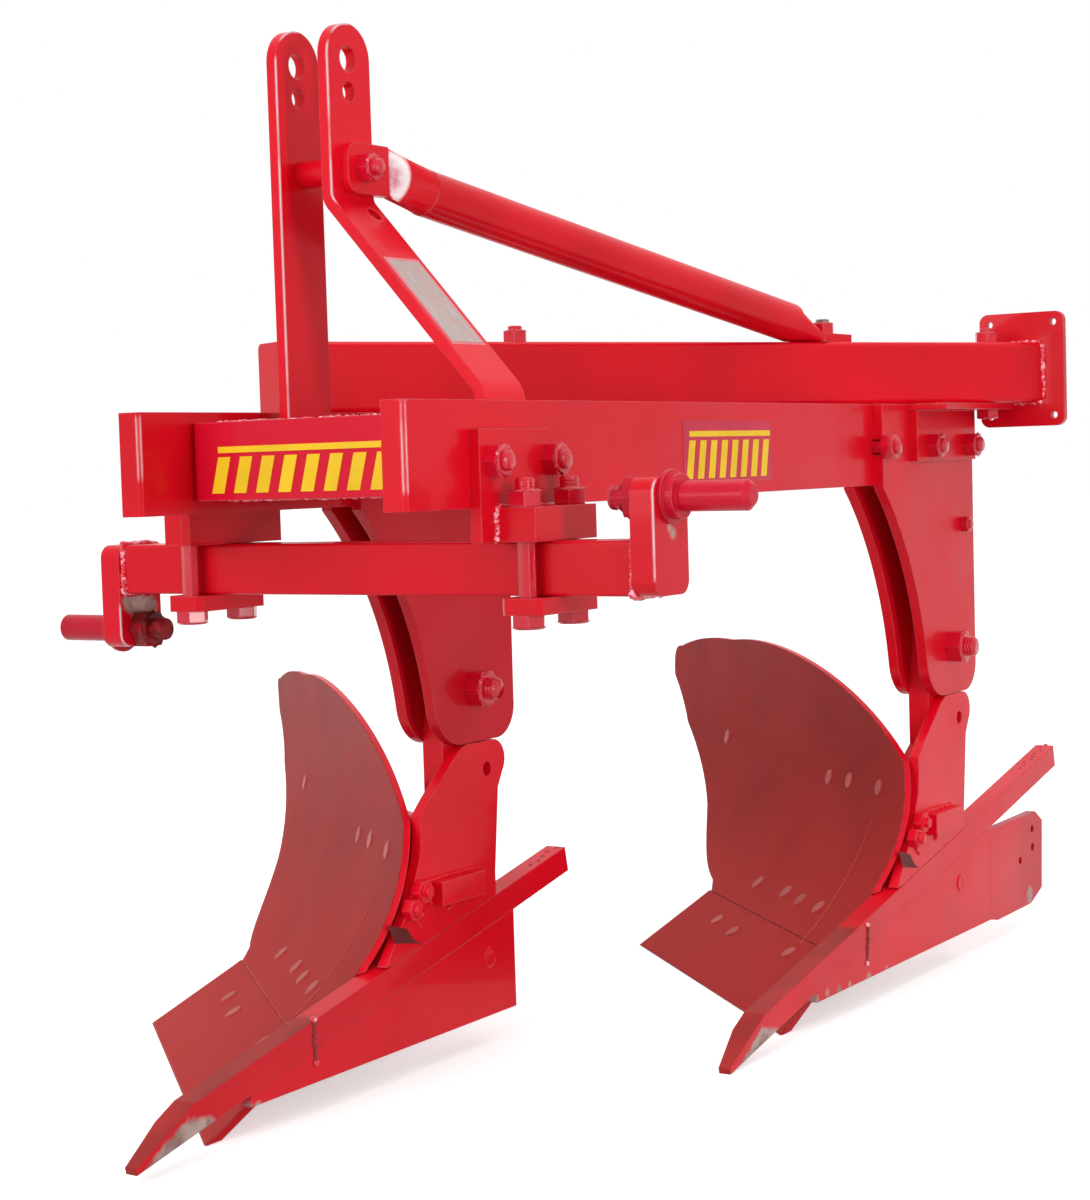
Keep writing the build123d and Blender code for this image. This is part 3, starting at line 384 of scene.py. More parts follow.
def grow(name, seeds, tree, finish, body, slot, **sizes):
    # runs a tree on a mesh of seeds and keeps the result as a plain mesh
    holder = bpy.data.objects.new(name + "_seeds", seeds)
    bpy.context.scene.collection.objects.link(holder)
    step = holder.modifiers.new("pattern", "NODES")
    step.node_group = bpy.data.node_groups[tree]
    sizes["Finish"] = finish
    for socket in step.node_group.interface.items_tree:
        if socket.in_out == "INPUT" and socket.name in sizes:
            step[socket.identifier] = sizes[socket.name]
    ready = holder.evaluated_get(bpy.context.evaluated_depsgraph_get())
    mesh = bpy.data.meshes.new_from_object(ready)
    holder.modifiers.clear()
    bpy.data.objects.remove(holder)
    return add_piece(name, mesh, finish, body)


def paths(name, runs):
    # each run of points as a chain of edges
    points, edges = [], []
    for run in runs:
        edges += [(len(points) + i, len(points) + i + 1) for i in range(len(run) - 1)]
        points += [at(*point) for point in run]
    mesh = bpy.data.meshes.new(name)
    mesh.from_pydata(points, edges, [])
    return mesh


weld_red, w, shader = new_material("weld_red", Specular_IOR_Level=0.4, Coat_Weight=0.6, Coat_Roughness=0.08)
# the pale flecks on the beads are painted highlights
highlight_flecks = w.place("paint_drift", Size=150.0, Low=0.5, High=0.62)["Mask"]
w.give(shader["Base Color"], w.blend(highlight_flecks, colour(220, 11, 42), colour(255, 176, 194)))
w.give(shader["Roughness"], w.span(highlight_flecks, 0.0, 1.0, 0.24, 0.14))
SHAFT_HALF, SHAFT = 312.0, 51.0
shaft_runs = []
for x in (-SHAFT_HALF, SHAFT_HALF):
    y0, y1, z0, z1 = SHAFT_Y - SHAFT / 2, SHAFT_Y + SHAFT / 2, SHAFT_Z - SHAFT / 2, SHAFT_Z + SHAFT / 2
    x -= 1.5 if x > 0 else -1.5
    shaft_runs += [[(x, y0, z0 + 2), (x, y0, z1 - 2)], [(x, y1, z0 + 2), (x, y1, z1 - 2)],
                   [(x, y0 + 2, z0), (x, y1 - 2, z0)], [(x, y0 + 2, z1), (x, y1 - 2, z1)]]
grow("crank_welds", paths("crank", shaft_runs), "weld_bead", weld_red, "cross_shaft", "frame_paint",
     Pitch=0.0034, Width=0.0075, Height=0.0075, Seed=5)

BLOCK_X, BLOCK_Y, BLOCK_LOW, BEAM_LOW = 182.5, (122.0, 228.0), 602.8, 635.0
block_runs = [[(s * BLOCK_X, BLOCK_Y[0], BLOCK_LOW + 2), (s * BLOCK_X, BLOCK_Y[0], BEAM_LOW - 1),
               (s * (BLOCK_X + 1), BLOCK_Y[0] + 3, BEAM_LOW), (s * (BLOCK_X + 1), BLOCK_Y[1], BEAM_LOW)]
              for s in (-1, 1)]
END_X, END_Y, TOP_LOW, TOP_HIGH, TUBE_HALF = 240.2, 1283.0, 735.0, 814.0, 33.3
SEAM_Y, CORNER, LOW_CORNER = END_Y - 1, 6, 8      # the beads stop at the rounded corners
end_runs = [[(x, SEAM_Y, TOP_LOW + LOW_CORNER), (x, SEAM_Y, TOP_HIGH - CORNER)]
            for x in (END_X + TUBE_HALF, END_X - TUBE_HALF)]
end_runs += [[(END_X - TUBE_HALF + CORNER, SEAM_Y, z), (END_X + TUBE_HALF - CORNER, SEAM_Y, z)]
             for z in (TOP_HIGH, TOP_LOW)]
MAST_RIGHT, MAST_RIGHT_IN, MAST_FRONT, MAST_BEAD = -109.0, -97.0, 170.0, 70.0
TUBE_END, TUBE_FRONT, TUBE_LOW, TUBE_TOP = 112.0, 80.0, 650.0, 722.0
mast_runs = [[(x, MAST_FRONT, TUBE_TOP - MAST_BEAD), (x, MAST_FRONT, TUBE_TOP)]
             for x in (MAST_RIGHT, MAST_RIGHT_IN)]
tube_runs = [[(-TUBE_END, TUBE_FRONT, z), (TUBE_END, TUBE_FRONT, z)] for z in (TUBE_TOP, TUBE_LOW)]
grow("frame_welds", paths("frame", block_runs + end_runs + mast_runs + tube_runs), "weld_bead", weld_red,
     "frame", "frame_paint", Pitch=0.0034, Width=0.0075, Height=0.0065, Seed=8)

# ------------------------------------------------------------------ label on the mast
# A thin aluminium type plate on the mast's slanted leg, left blank, with a pale rim.
LEG_RUN, LEG_DROP, BEND_X, BEND_Z, MAST_T = 175.0, 196.0, -44.5, 937.85, 12.0
# the mast plates' front edges carry painted highlights
mast_red = enamel("mast_red", painted_highlights=[(at(-97, 170, 900), (5, 5, 185)), (at(-32.5, 170, 1015), (5, 5, 78)),
                                      (at(-32.5, 190, 1112), (5, 16, 8)), (at(-97, 190, 1112), (5, 16, 8))],
                  base=colour(228, 10, 36), deep=colour(218, 9, 32))
coat(mast_red, "mast_plate_left", "mast_plate_right", "mast_spacer")
LABEL_ALONG, LABEL_Y, LABEL_T = (92.0, 204.0), (178.0, 229.0), 0.5
RIM_ALONG, RIM_Y, RIM_T = 3.5, 3, 0.25
slope = Vector((LEG_RUN, 0, -LEG_DROP)).normalized()
slope_out = slope.cross(Y)
face_zero = at(BEND_X, 0, BEND_Z) + slope_out * MAST_T / 1000
(a0, a1), (y0, y1) = LABEL_ALONG, LABEL_Y
edge = rectangle(a0 - RIM_ALONG, a1 + RIM_ALONG, y0 - RIM_Y, y1 + RIM_Y)
plate = rectangle(a0, a1, y0, y1)
label_edge = foil("label_edge", colour(232, 120, 130), 0.4)
add_piece("label_edge", slabs("label_edge", [edge], face_zero, slope, Y, RIM_T), label_edge, "frame")
label_tin, w, shader = new_material("label_tin", Specular_IOR_Level=0.5)
brushed = w.add("ShaderNodeTexNoise", {"Vector": w.add("ShaderNodeMapping", {
    "Vector": w.spot(), "Scale": (30, 420, 30)}).outputs["Vector"],
    "Scale": 1.0, "Detail": 3.0}).outputs["Fac"]
blot = w.place("paint_drift", Size=70.0, Low=0.35, High=0.72)["Mask"]
grey = w.blend(w.span(brushed, 0.3, 0.7), colour(192, 178, 172), colour(168, 152, 146))
w.give(shader["Base Color"], w.blend(w.math("MULTIPLY", blot, 0.5), grey, colour(206, 150, 150)))
w.give(shader["Roughness"], w.span(blot, 0.0, 1.0, 0.32, 0.5))
w.give(shader["Metallic"], w.span(brushed, 0.3, 0.7, 0.15, 0.3))
add_piece("label", slabs("label", [plate], face_zero, slope, Y, LABEL_T), label_tin, "frame")

# ------------------------------------------------------------------ bolts and nuts
# Hexagon bolts hold the brackets, legs, clamps and stays. Each head and nut has a chamfered
# crown, and the shank's end stands out of its nut with its thread, all sprayed red.
w, takes, gives = new_tree("hexagon_crown", "GeometryNodeTree",
                           [("Places", GEOMETRY, None), ("Rise", NUMBER, 0.07),
                            ("Top", NUMBER, 0.455), ("Finish", FINISH, None)],
                           [("Mesh", GEOMETRY)])
cone = w.add("GeometryNodeMeshCone", {"Vertices": 36, "Radius Top": takes["Top"], "Radius Bottom": 0.5,
                                      "Depth": takes["Rise"]}, fill_type="NGON").outputs["Mesh"]
here = w.add("GeometryNodeInputPosition").outputs[0]
parts = w.split(here)
angle = w.math("ARCTAN2", parts["Y"], parts["X"])
off_flat = w.math("SUBTRACT", w.math("FLOORED_MODULO", w.math("ADD", angle, pi / 6), pi / 3), pi / 6)
corner = w.math("SUBTRACT", w.math("DIVIDE", 1.0, w.math("COSINE", off_flat)), 1.0)
low_ring = w.math("LESS_THAN", parts["Z"], 0.001)
stretch = w.math("ADD", 1.0, w.math("MULTIPLY", corner, low_ring))
moved = w.join(w.math("MULTIPLY", parts["X"], stretch), w.math("MULTIPLY", parts["Y"], stretch), parts["Z"])
crown = w.add("GeometryNodeSetPosition", {"Geometry": cone, "Position": moved}).outputs["Geometry"]


def set_out(w, takes, gives, shape, smooth):
    # ends a tree: one copy of the shape at each seed, turned and sized as the seed says
    def said(name):
        return w.add("GeometryNodeInputNamedAttribute", {"Name": name},
                     data_type="FLOAT_VECTOR").outputs["Attribute"]
    turned = w.add("FunctionNodeEulerToRotation", {"Euler": said("turn")}).outputs["Rotation"]
    placed = w.add("GeometryNodeInstanceOnPoints", {
        "Points": takes["Places"], "Instance": shape, "Rotation": turned,
        "Scale": said("size")}).outputs["Instances"]
    solid = w.add("GeometryNodeRealizeInstances", {"Geometry": placed}).outputs["Geometry"]
    solid = w.add("GeometryNodeSetShadeSmooth", {"Geometry": solid,
                                                 "Shade Smooth": smooth}).outputs["Geometry"]
    w.give(gives["Mesh"], w.add("GeometryNodeSetMaterial", {"Geometry": solid,
                                                            "Material": takes["Finish"]}).outputs["Geometry"])


set_out(w, takes, gives, crown, False)

w, takes, gives = new_tree("threaded_end", "GeometryNodeTree",
                           [("Places", GEOMETRY, None), ("Turns", NUMBER, 5.0),
                            ("Depth", NUMBER, 0.06), ("Finish", FINISH, None)],
                           [("Mesh", GEOMETRY)])
rod = w.add("GeometryNodeMeshCylinder", {"Vertices": 20, "Side Segments": 30, "Radius": 0.53,
                                         "Depth": 1.0}).outputs["Mesh"]
here = w.add("GeometryNodeInputPosition").outputs[0]
parts = w.split(here)
high = w.math("ADD", parts["Z"], 0.5)
winding = w.math("ADD", w.math("MULTIPLY", w.math("MULTIPLY", high, takes["Turns"]), 2 * pi),
                 w.math("ARCTAN2", parts["Y"], parts["X"]))
groove = w.math("MULTIPLY", w.math("ADD", w.math("SINE", winding), 1.0),
                w.math("MULTIPLY", takes["Depth"], 0.5))
tip = w.span(high, 0.86, 1.0, 0.0, 0.13)
shrink = w.math("SUBTRACT", w.math("SUBTRACT", 1.0, groove), tip)
moved = w.join(w.math("MULTIPLY", parts["X"], shrink), w.math("MULTIPLY", parts["Y"], shrink), high)
thread = w.add("GeometryNodeSetPosition", {"Geometry": rod, "Position": moved}).outputs["Geometry"]
set_out(w, takes, gives, thread, True)


def seeds(name, places):
    # one point for each place: where, its axis, which way a corner points, and its size
    mesh = bpy.data.meshes.new(name)
    mesh.from_pydata([place[0] for place in places], [], [])
    turn = mesh.attributes.new("turn", "FLOAT_VECTOR", "POINT")
    size = mesh.attributes.new("size", "FLOAT_VECTOR", "POINT")
    for i, (_, axis, corner, measure) in enumerate(places):
        side = corner.cross(axis).normalized()
        turn.data[i].vector = Matrix((side, axis.cross(side), axis)).transposed().to_euler()
        size.data[i].vector = measure
    return mesh


bolt_red = enamel("bolt_red", base=colour(214, 12, 44), deep=colour(198, 10, 36), edge=0.35,
                  smooth=(0.13, 0.23), sheen=0.3, clear=0.35)
coat(bolt_red, "clamp_bolts", "top_beam_bolts", "stay_bolts", "front_leg_bolts", "rear_leg_bolts")
HEAD_ACROSS, HEAD_HIGH, NUT_HIGH = 1.6, 0.63, 0.8       # times the bolt's diameter
BODIES = {"front": (-156.5, 20.0), "rear": (156.5, 665.0)}
CHEEK_OUT, STAY_END = 27.0, (94.09, 993.95)
bolts = []          # start, axis, corner, diameter, grip, thread left outside
for xc, yb in BODIES.values():
    x = xc - CHEEK_OUT
    bolts += [((x, yb + v, 682), X, Z, 18, 54 + extra, 6) for v, extra in ((311, 0), (431, 10), (549, 10))]
    bolts += [((x, yb + 506, 420), X, Z, 24, 54, 14), ((x, yb + 551, 578), X, Z, 12, 54, 3)]
bolts += [((x, y, 727), Z, Y, 16, 87, 6) for x, y in ((-98, 586), (215, 1231))]
bolts += [((-109, 209, 972), X, Z, 16, 87.5, 8)]
for s, cheek in ((-1, 0), (1, 12)):
    bolts += [((s * 205.5, 175 + dy, 535.2), Z, Y, 18, 99.8, 12) for dy in (-38.5, 38.5)]
    bolts += [((s * (142.5 - inner), y, 678), X * s, Z, 18, inner + 40, 6)
              for y, inner in ((118, 10), (216, cheek))]
crowns, ends = [], []
for start, axis, corner, d, grip, tail in bolts:
    head, nut = at(*start) - axis * HEAD_HIGH * d / 1000, at(*start) + axis * (grip + NUT_HIGH * d) / 1000
    across = HEAD_ACROSS * d / 1000
    crowns += [(head, -axis, corner, [across] * 3), (nut, axis, corner, [across] * 3)]
    ends.append((nut - axis * 0.001, axis, corner, (d / 1000, d / 1000, (tail + 1.6) / 1000)))
crowns.append((at(*STAY_END, 838), Z, Y, [0.0256] * 3))
ends.append((at(*STAY_END, 837), Z, Y, (0.016, 0.016, 0.0066)))
grow("bolt_crowns", seeds("crowns", crowns), "hexagon_crown", bolt_red, "frame", "plated_bolts")
grow("bolt_ends", seeds("ends", ends), "threaded_end", bolt_red, "frame", "plated_bolts", Turns=4.0)

# ------------------------------------------------------------------ stay pipe
# A steel pipe from the mast to the top beam, pressed flat at both ends for its bolts. Where the front
# end's flat opens into the round, a painted highlight stands for a lamp's reflection in the press facet.
FACET_X, FACET_Z, FACET_R, FLAT_X = -38.6, 967.0, 31.5, -21.0
pipe_red = enamel("pipe_red")
w, shader = reopen(pipe_red)
red = shader["Base Color"].links[0].from_socket
spot = w.spot()
flat_spot = w.vector("MULTIPLY", spot, (1, 0, 1))
centre = at(FACET_X, 0, FACET_Z)
away = w.vector("DISTANCE", flat_spot, (centre.x, 0, centre.z), "Value")
round_side = w.span(away, (FACET_R - 1.0) / 1000, (FACET_R + 1.0) / 1000, 1.0, 0.0)
behind = w.split(spot)["X"]
crease = w.span(behind, at(FLAT_X, 0, 0).x - 0.0004, at(FLAT_X, 0, 0).x + 0.0006)
facing = w.split(w.normal())["X"]
crease = w.math("MULTIPLY", crease, w.span(facing, 0.1, 0.3))
core = w.span(away, (FACET_R - 9.0) / 1000, (FACET_R - 3.0) / 1000, 1.0, 0.0)
core = w.math("MULTIPLY", core, w.place("paint_drift", Size=70.0, Low=0.3, High=0.6)["Mask"])
# a painted highlight: near-white colour where a lamp would reflect in the facet
facet_highlight = w.blend(core, colour(255, 248, 248), colour(222, 150, 170))
w.give(shader["Base Color"], w.blend(w.math("MULTIPLY", round_side, crease), red, facet_highlight))
coat(pipe_red, "stay_pipe")
bare_steel, w, shader = new_material("bare_steel", Metallic=0.6, Specular_IOR_Level=0.4)
w.give(shader["Base Color"], w.blend(w.place("paint_drift", Size=90.0, Low=0.35, High=0.65)["Mask"],
                                     colour(178, 168, 156), colour(120, 96, 88)))
w.give(shader["Roughness"], w.span(w.place("paint_drift", Size=140.0)["Mask"], 0.0, 1.0, 0.32, 0.5))
grow("stay_stud", seeds("stud", [(at(*STAY_END, 837), Z, Y, (0.0164, 0.0164, 0.0069))]), "threaded_end",
     bare_steel, "frame", "plated_bolts", Turns=4.0)

# ------------------------------------------------------------------ cross shaft, cranks and pins
# A square bar clamped across the frame carries a flat crank at each end, one up and one down, with
# the lower links' pins bolted through them. Old chain marks show steel near the welds.
CRANK_OUT, CRANK_IN = 337.0, 312.0
rubs = [((-CRANK_IN, 166, 543), 16), ((-CRANK_IN, 186, 536), 12), ((CRANK_OUT, 178, 608), 4.5),
        ((CRANK_OUT, 173, 613), 3)]
# the cranks' front edges carry painted highlights; the rubs show bare steel
crank_red = enamel("crank_red", [(at(*place), r / 1000) for place, r in rubs],
                   painted_highlights=[(at(CRANK_OUT, 144, 612), (6, 6, 45)), (at(-CRANK_IN, 148, 505), (6, 10, 34))],
                   base=colour(218, 10, 36))
coat(crank_red, "hitch_crank_left", "hitch_crank_right", "cross_shaft")
pin_red = enamel("pin_red", base=colour(204, 16, 46), deep=colour(186, 18, 44), smooth=(0.3, 0.42))
coat(pin_red, "hitch_pin_left")
far_red = enamel("far_pin_red", base=colour(192, 20, 46), deep=colour(176, 18, 42), smooth=(0.3, 0.42))
w, shader = reopen(far_red)
red = shader["Base Color"].links[0].from_socket
# the pin's nut side, inboard of the crank, is painted darker
inboard = w.split(w.spot())["X"]
nut_side = w.span(inboard, at(-CRANK_IN, 0, 0).x - 0.0005, at(-CRANK_IN, 0, 0).x + 0.0005)
inboard_dark = w.blend(w.place("paint_drift", Size=60.0, Low=0.35, High=0.65)["Mask"], colour(152, 26, 34),
               colour(98, 22, 26))
w.give(shader["Base Color"], w.blend(nut_side, red, inboard_dark))
coat(far_red, "hitch_pin_right")
PIN_UP, PIN_DOWN, STUD_END = 641.0, 513.0, 280.0
studs = [(at(s * (STUD_END + 0.5), SHAFT_Y, z), X * -s, Z, (0.022, 0.022, 0.004))
         for s, z in ((1, PIN_UP), (-1, PIN_DOWN))]
for name, stud, finish in (("left", studs[0], pin_red), ("right", studs[1], far_red)):
    grow("pin_threads_" + name, seeds("studs", [stud]), "threaded_end", finish, "cross_shaft", "pin_steel",
         Turns=2.0)
NUT_OUT, NUT_ACROSS = 294.0, 36.0
for name, s, z, finish in (("left", 1, PIN_UP, pin_red), ("right", -1, PIN_DOWN, far_red)):
    crown_seed = [(at(s * NUT_OUT, SHAFT_Y, z), X * -s, Z, [NUT_ACROSS / 1000] * 3)]
    grow("pin_nut_crown_" + name, seeds("nut", crown_seed), "hexagon_crown", finish, "cross_shaft",
         "pin_steel", Rise=0.055)

# ------------------------------------------------------------------ moldboards and shares
# The boards are rolled steel plate, painted and rubbed to a dull brick red on the side that turns
# the soil. Flush plough bolts hold them to the frog; a fine seam marks the shin piece.
TURN, BOARD_R, SHARE_ANG = radians(48), 290.0, radians(28)
SEAM_N, SEAM_Z = 140.0, 60.0
AXIS_N, AXIS_Z = SEAM_N - BOARD_R * sin(SHARE_ANG), SEAM_Z + BOARD_R * cos(SHARE_ANG)
ACROSS, ALONG = Vector((cos(TURN), sin(TURN), 0)), Vector((-sin(TURN), cos(TURN), 0))
BRICK, BRICK_PALE, BRICK_DARK = colour(158, 29, 25), colour(176, 42, 38), colour(144, 26, 23)
BOARD_BOLTS = [(897.5, 246), (477.5, 235), (409.5, 239), (311.8, 242), (509.5, 92), (414.2, 95),
               (359.6, 94), (298.3, 95), (489.3, 49.6), (417.3, 47.5), (240.5, 53.5)]


def brick(name, body, worn_share):
    # dull on the worked face, glossy paint left along the edges and behind
    material, w, shader = new_material(name, Specular_IOR_Level=0.05)
    x, y = BODIES[body]
    spot = w.spot()
    from_axis = w.vector("SUBTRACT", spot, at(x + ACROSS.x * AXIS_N, y + ACROSS.y * AXIS_N, AXIS_Z))
    out = w.vector("DOT_PRODUCT", from_axis, ACROSS, "Value")
    high = w.split(from_axis)["Z"]
    if worn_share:
        side = w.split(w.normal())["Z"]
        face = w.span(side, -0.2, 0.2)
    else:
        away = w.math("SQRT", w.math("ADD", w.math("MULTIPLY", out, out), w.math("MULTIPLY", high, high)))
        face = w.span(away, (BOARD_R + 0.6) / 1000, (BOARD_R + 1.6) / 1000, 1.0, 0.0)
    streak = w.add("ShaderNodeMapping", {"Vector": spot, "Rotation": (0, 0, -TURN), "Scale": (9, 1.6, 9)})
    rubbed = w.add("ShaderNodeTexNoise", {"Vector": streak.outputs["Vector"], "Scale": 1.0, "Detail": 4.0})
    rubbed = w.span(rubbed.outputs["Fac"], 0.35, 0.75)
    dull = w.blend(w.place("paint_drift", Size=7.0, Low=0.35, High=0.7)["Mask"], BRICK, BRICK_DARK)
    dull = w.blend(w.math("MULTIPLY", rubbed, 0.25), dull, BRICK_PALE)
    low = w.span(high, -0.31, -0.08, 0.6, 0.0)
    dull = w.blend(low, dull, colour(190, 40, 36))
    edge_wear_and_highlight = w.place("worn_edge", Radius=0.0025, Amount=0.5)
    paint = w.blend(face, RED, dull)
    # pale edges: thin worn paint, with a painted highlight laid on them too
    w.give(shader["Base Color"], w.blend(edge_wear_and_highlight["Mask"], paint, PALE_EDGE_AND_HIGHLIGHT))
    rough = w.math("ADD", w.span(face, 0.0, 1.0, 0.32, 0.5), w.math("MULTIPLY", rubbed, -0.03))
    w.give(shader["Roughness"], rough)
    w.give(shader["Coat Weight"], w.span(face, 0.0, 1.0, 0.12, 0.0))
    relief = w.place("fine_relief", Size=240.0, Second_Size=34.0, Share=0.5)["Height"]
    w.give(shader["Normal"], w.add("ShaderNodeBump", {"Strength": 0.2, "Distance": 0.001, "Height": relief,
                                                      "Normal": edge_wear_and_highlight["Normal"]}).outputs["Normal"])
    return material


def on_board(body, s, z):
    # a point of the worked face, s along the board, and its outward direction
    if z < SEAM_Z:
        n, out = SEAM_N - (SEAM_Z - z) / tan(SHARE_ANG), Vector((-sin(SHARE_ANG), 0, cos(SHARE_ANG)))
    else:
        n = AXIS_N + sqrt(BOARD_R ** 2 - (z - AXIS_Z) ** 2)
        out = Vector((AXIS_N - n, 0, AXIS_Z - z)) / BOARD_R
    x, y = BODIES[body]
    flat = ACROSS * n + ALONG * s
    return at(x + flat.x, y + flat.y, z), (ACROSS * out.x + Z * out.z).normalized()


w, takes, gives = new_tree("flush_bolt", "GeometryNodeTree",
                           [("Places", GEOMETRY, None), ("Dish", NUMBER, 0.35),
                            ("Finish", FINISH, None)],
                           [("Mesh", GEOMETRY)])
ball = w.add("GeometryNodeMeshUVSphere", {"Segments": 28, "Rings": 20, "Radius": 0.5}).outputs["Mesh"]
here = w.add("GeometryNodeInputPosition").outputs[0]
parts = w.split(here)
reach = w.math("SQRT", w.math("ADD", w.math("MULTIPLY", parts["X"], parts["X"]),
                              w.math("MULTIPLY", parts["Y"], parts["Y"])))
dish = w.math("MULTIPLY", w.span(reach, 0.2, 0.38, 1.0, 0.0), w.math("MULTIPLY", parts["Z"], takes["Dish"]))
sunk = w.join(parts["X"], parts["Y"], w.math("SUBTRACT", parts["Z"], dish))
lens = w.add("GeometryNodeSetPosition", {"Geometry": ball, "Position": sunk}).outputs["Geometry"]
set_out(w, takes, gives, lens, True)

SHIN_FOOT_U, SHIN_FOOT_Z, SHIN_LEAN, SHIN_STEP, SHIN_POINTS = -84.0, 63, 40 / 137, 17, 9
BOARD_BOLT, BOLT_SUNK = (0.022, 0.022, 0.0052), 0.0002
seam_pale = foil("seam_pale", colour(214, 96, 92), 0.4)
bolt_brick = foil("bolt_brick", colour(176, 46, 42), 0.34)
for body in BODIES:
    board_brick = brick(body + "_board", body, False)
    share_brick = brick(body + "_share_brick", body, True)
    coat(board_brick, body + "_moldboard")
    coat(share_brick, body + "_share")
    heads = []
    for s, z in BOARD_BOLTS:
        place, out = on_board(body, s, z)
        heads.append((place - out * BOLT_SUNK, out, ALONG, BOARD_BOLT))
    grow(body + "_plough_bolts", seeds("plough_bolts", heads), "flush_bolt", bolt_brick, "frame",
         "board_paint")
    shin = []
    for step in range(SHIN_POINTS):
        z = SHIN_FOOT_Z + SHIN_STEP * step
        n = AXIS_N + sqrt(BOARD_R ** 2 - (z - AXIS_Z) ** 2)
        u = SHIN_FOOT_U + (z - SHIN_FOOT_Z) * SHIN_LEAN
        v = (n - u * cos(TURN)) / sin(TURN)
        place = on_board(body, -u * sin(TURN) + v * cos(TURN), z)[0]
        shin.append(tuple((place - ZERO) * 1000))
    grow(body + "_shin_seam", paths("shin", [shin]), "weld_bead", seam_pale, "frame", "board_paint",
         Pitch=0.0016, Width=0.0016, Height=0.0008, Wander=0.0001)

# ------------------------------------------------------------------ landsides and heel
# Flat steel runners that steady the plough against the furrow wall, painted red and scraped to
# the bare steel along their lower edges. A welded joint crosses each behind the share.
FACE_U = 26.7
SCRAPES = {"front": [((80, 34), 13), ((100, 34), 6)],
           "rear": [((81, 38), 13), ((118, 43), 3.5), ((150, 40), 5), ((178, 40), 3), ((232, 38), 5),
                    ((284, 38), 3)]}
JOINTS = {"front": [(194, 104), (193, 80), (195, 58)], "rear": [(231, 103), (230, 80), (227, 56)]}


def on_side(body, v, z, u=FACE_U):
    x, y = BODIES[body]
    return (x + u, y + v, z)


weld_scale = foil("weld_scale", colour(132, 44, 44), 0.42)
for body in BODIES:
    scrapes = [(at(*on_side(body, v, z)), r / 1000) for (v, z), r in SCRAPES[body]]
    landside_red = enamel(body + "_landside", scrapes, base=colour(232, 11, 34), deep=colour(218, 10, 30),
                          edge=0.25)
    coat(landside_red, body + "_landside")
    joint = [on_side(body, v, z, FACE_U + 0.2) for v, z in JOINTS[body]]
    grow(body + "_landside_joint", paths("joint", [joint]), "weld_bead", weld_scale, "frame", "frame_paint",
         Pitch=0.0024, Width=0.0062, Height=0.0042, Seed=4)
    ends = [(at(*place), X, Z, (0.009, 0.007, 0.006)) for place in (joint[0], joint[-1])]
    grow(body + "_joint_ends", seeds("ends", ends), "flush_bolt", weld_red, "frame", "frame_paint", Dish=0.0)
    bolt = [(at(*on_side(body, 520, 105, FACE_U - 0.3)), X, Z, (0.025, 0.025, 0.006))]
    grow(body + "_landside_bolt", seeds("landside_bolt", bolt), "flush_bolt", landside_red, "frame",
         "frame_paint", Dish=0.6)
heel_red = enamel("heel", [(at(*on_side("rear", 766, 44, 40)), 0.016)], base=colour(228, 11, 34))
coat(heel_red, "rear_landside_heel")

# ------------------------------------------------------------------ side plates and bar clips
# A plate on each frog carries the clip that holds the bar point: a welded block with a set screw,
# and above the bar a slot, shown by a thin dark sheet of painted shade where the slot's shade lies.
SLOT = [(327, 178), (338, 156), (386, 147), (372, 155), (361, 168)]
CLIP_WELDS = [((407, 188), (407, 212)), ((410, 214), (490, 214)), ((386, 166), (378, 174)),
              ((440, 176), (450, 184))]
NUT_V, NUT_Z, NUT_R, NUT_THICK = 366, 189, 13, 11.5
# the frogs' front edges carry a painted highlight
frog_red = enamel("frog_red", painted_highlights=[(at(*on_side(body, 412, 300, 27)), (6, 14, 13)) for body in BODIES])
coat(frog_red, "front_frog", "rear_frog")
for body in BODIES:
    side_red = enamel(body + "_side_plate", base=colour(232, 10, 36), deep=colour(218, 9, 30))
    coat(side_red, body + "_frog_side_plate", body + "_bar_clip")
    # a thin dark sheet over the slot is painted shade, not an opening
    slot_shade_foil = foil(body + "_gap", colour(96, 18, 18), 0.6)
    x, y = BODIES[body]
    add_piece(body + "_bar_gap", slabs("painted_slot_shade", [SLOT[::-1]], at(x + FACE_U, y, 0), Y, Z, 0.4), slot_shade_foil,
              "frame")
    hexagon = [(NUT_V + NUT_R * cos(pi / 3 * i), NUT_Z + NUT_R * sin(pi / 3 * i)) for i in range(6)]
    add_piece(body + "_slot_nut", slabs("nut", [hexagon], at(x + FACE_U - 0.5, y, 0), Y, Z, NUT_THICK),
              side_red, "frame")
    nut_top = at(x + FACE_U + NUT_THICK - 0.5, y + NUT_V, NUT_Z)
    grow(body + "_slot_nut_crown", seeds("nut", [(nut_top, X, Y, [0.0225] * 3)]), "hexagon_crown", side_red,
         "frame", "plated_bolts")
    grow(body + "_slot_bolt_end", seeds("end", [(nut_top, X, Y, (0.014, 0.014, 0.007))]), "threaded_end",
         side_red, "frame", "plated_bolts", Turns=4.0)
    clip_runs = [[on_side(body, *start), on_side(body, *end)] for start, end in CLIP_WELDS]
    grow(body + "_clip_welds", paths("clip", clip_runs), "weld_bead", side_red, "frame", "frame_paint",
         Pitch=0.003, Width=0.0055, Height=0.0048, Seed=6)

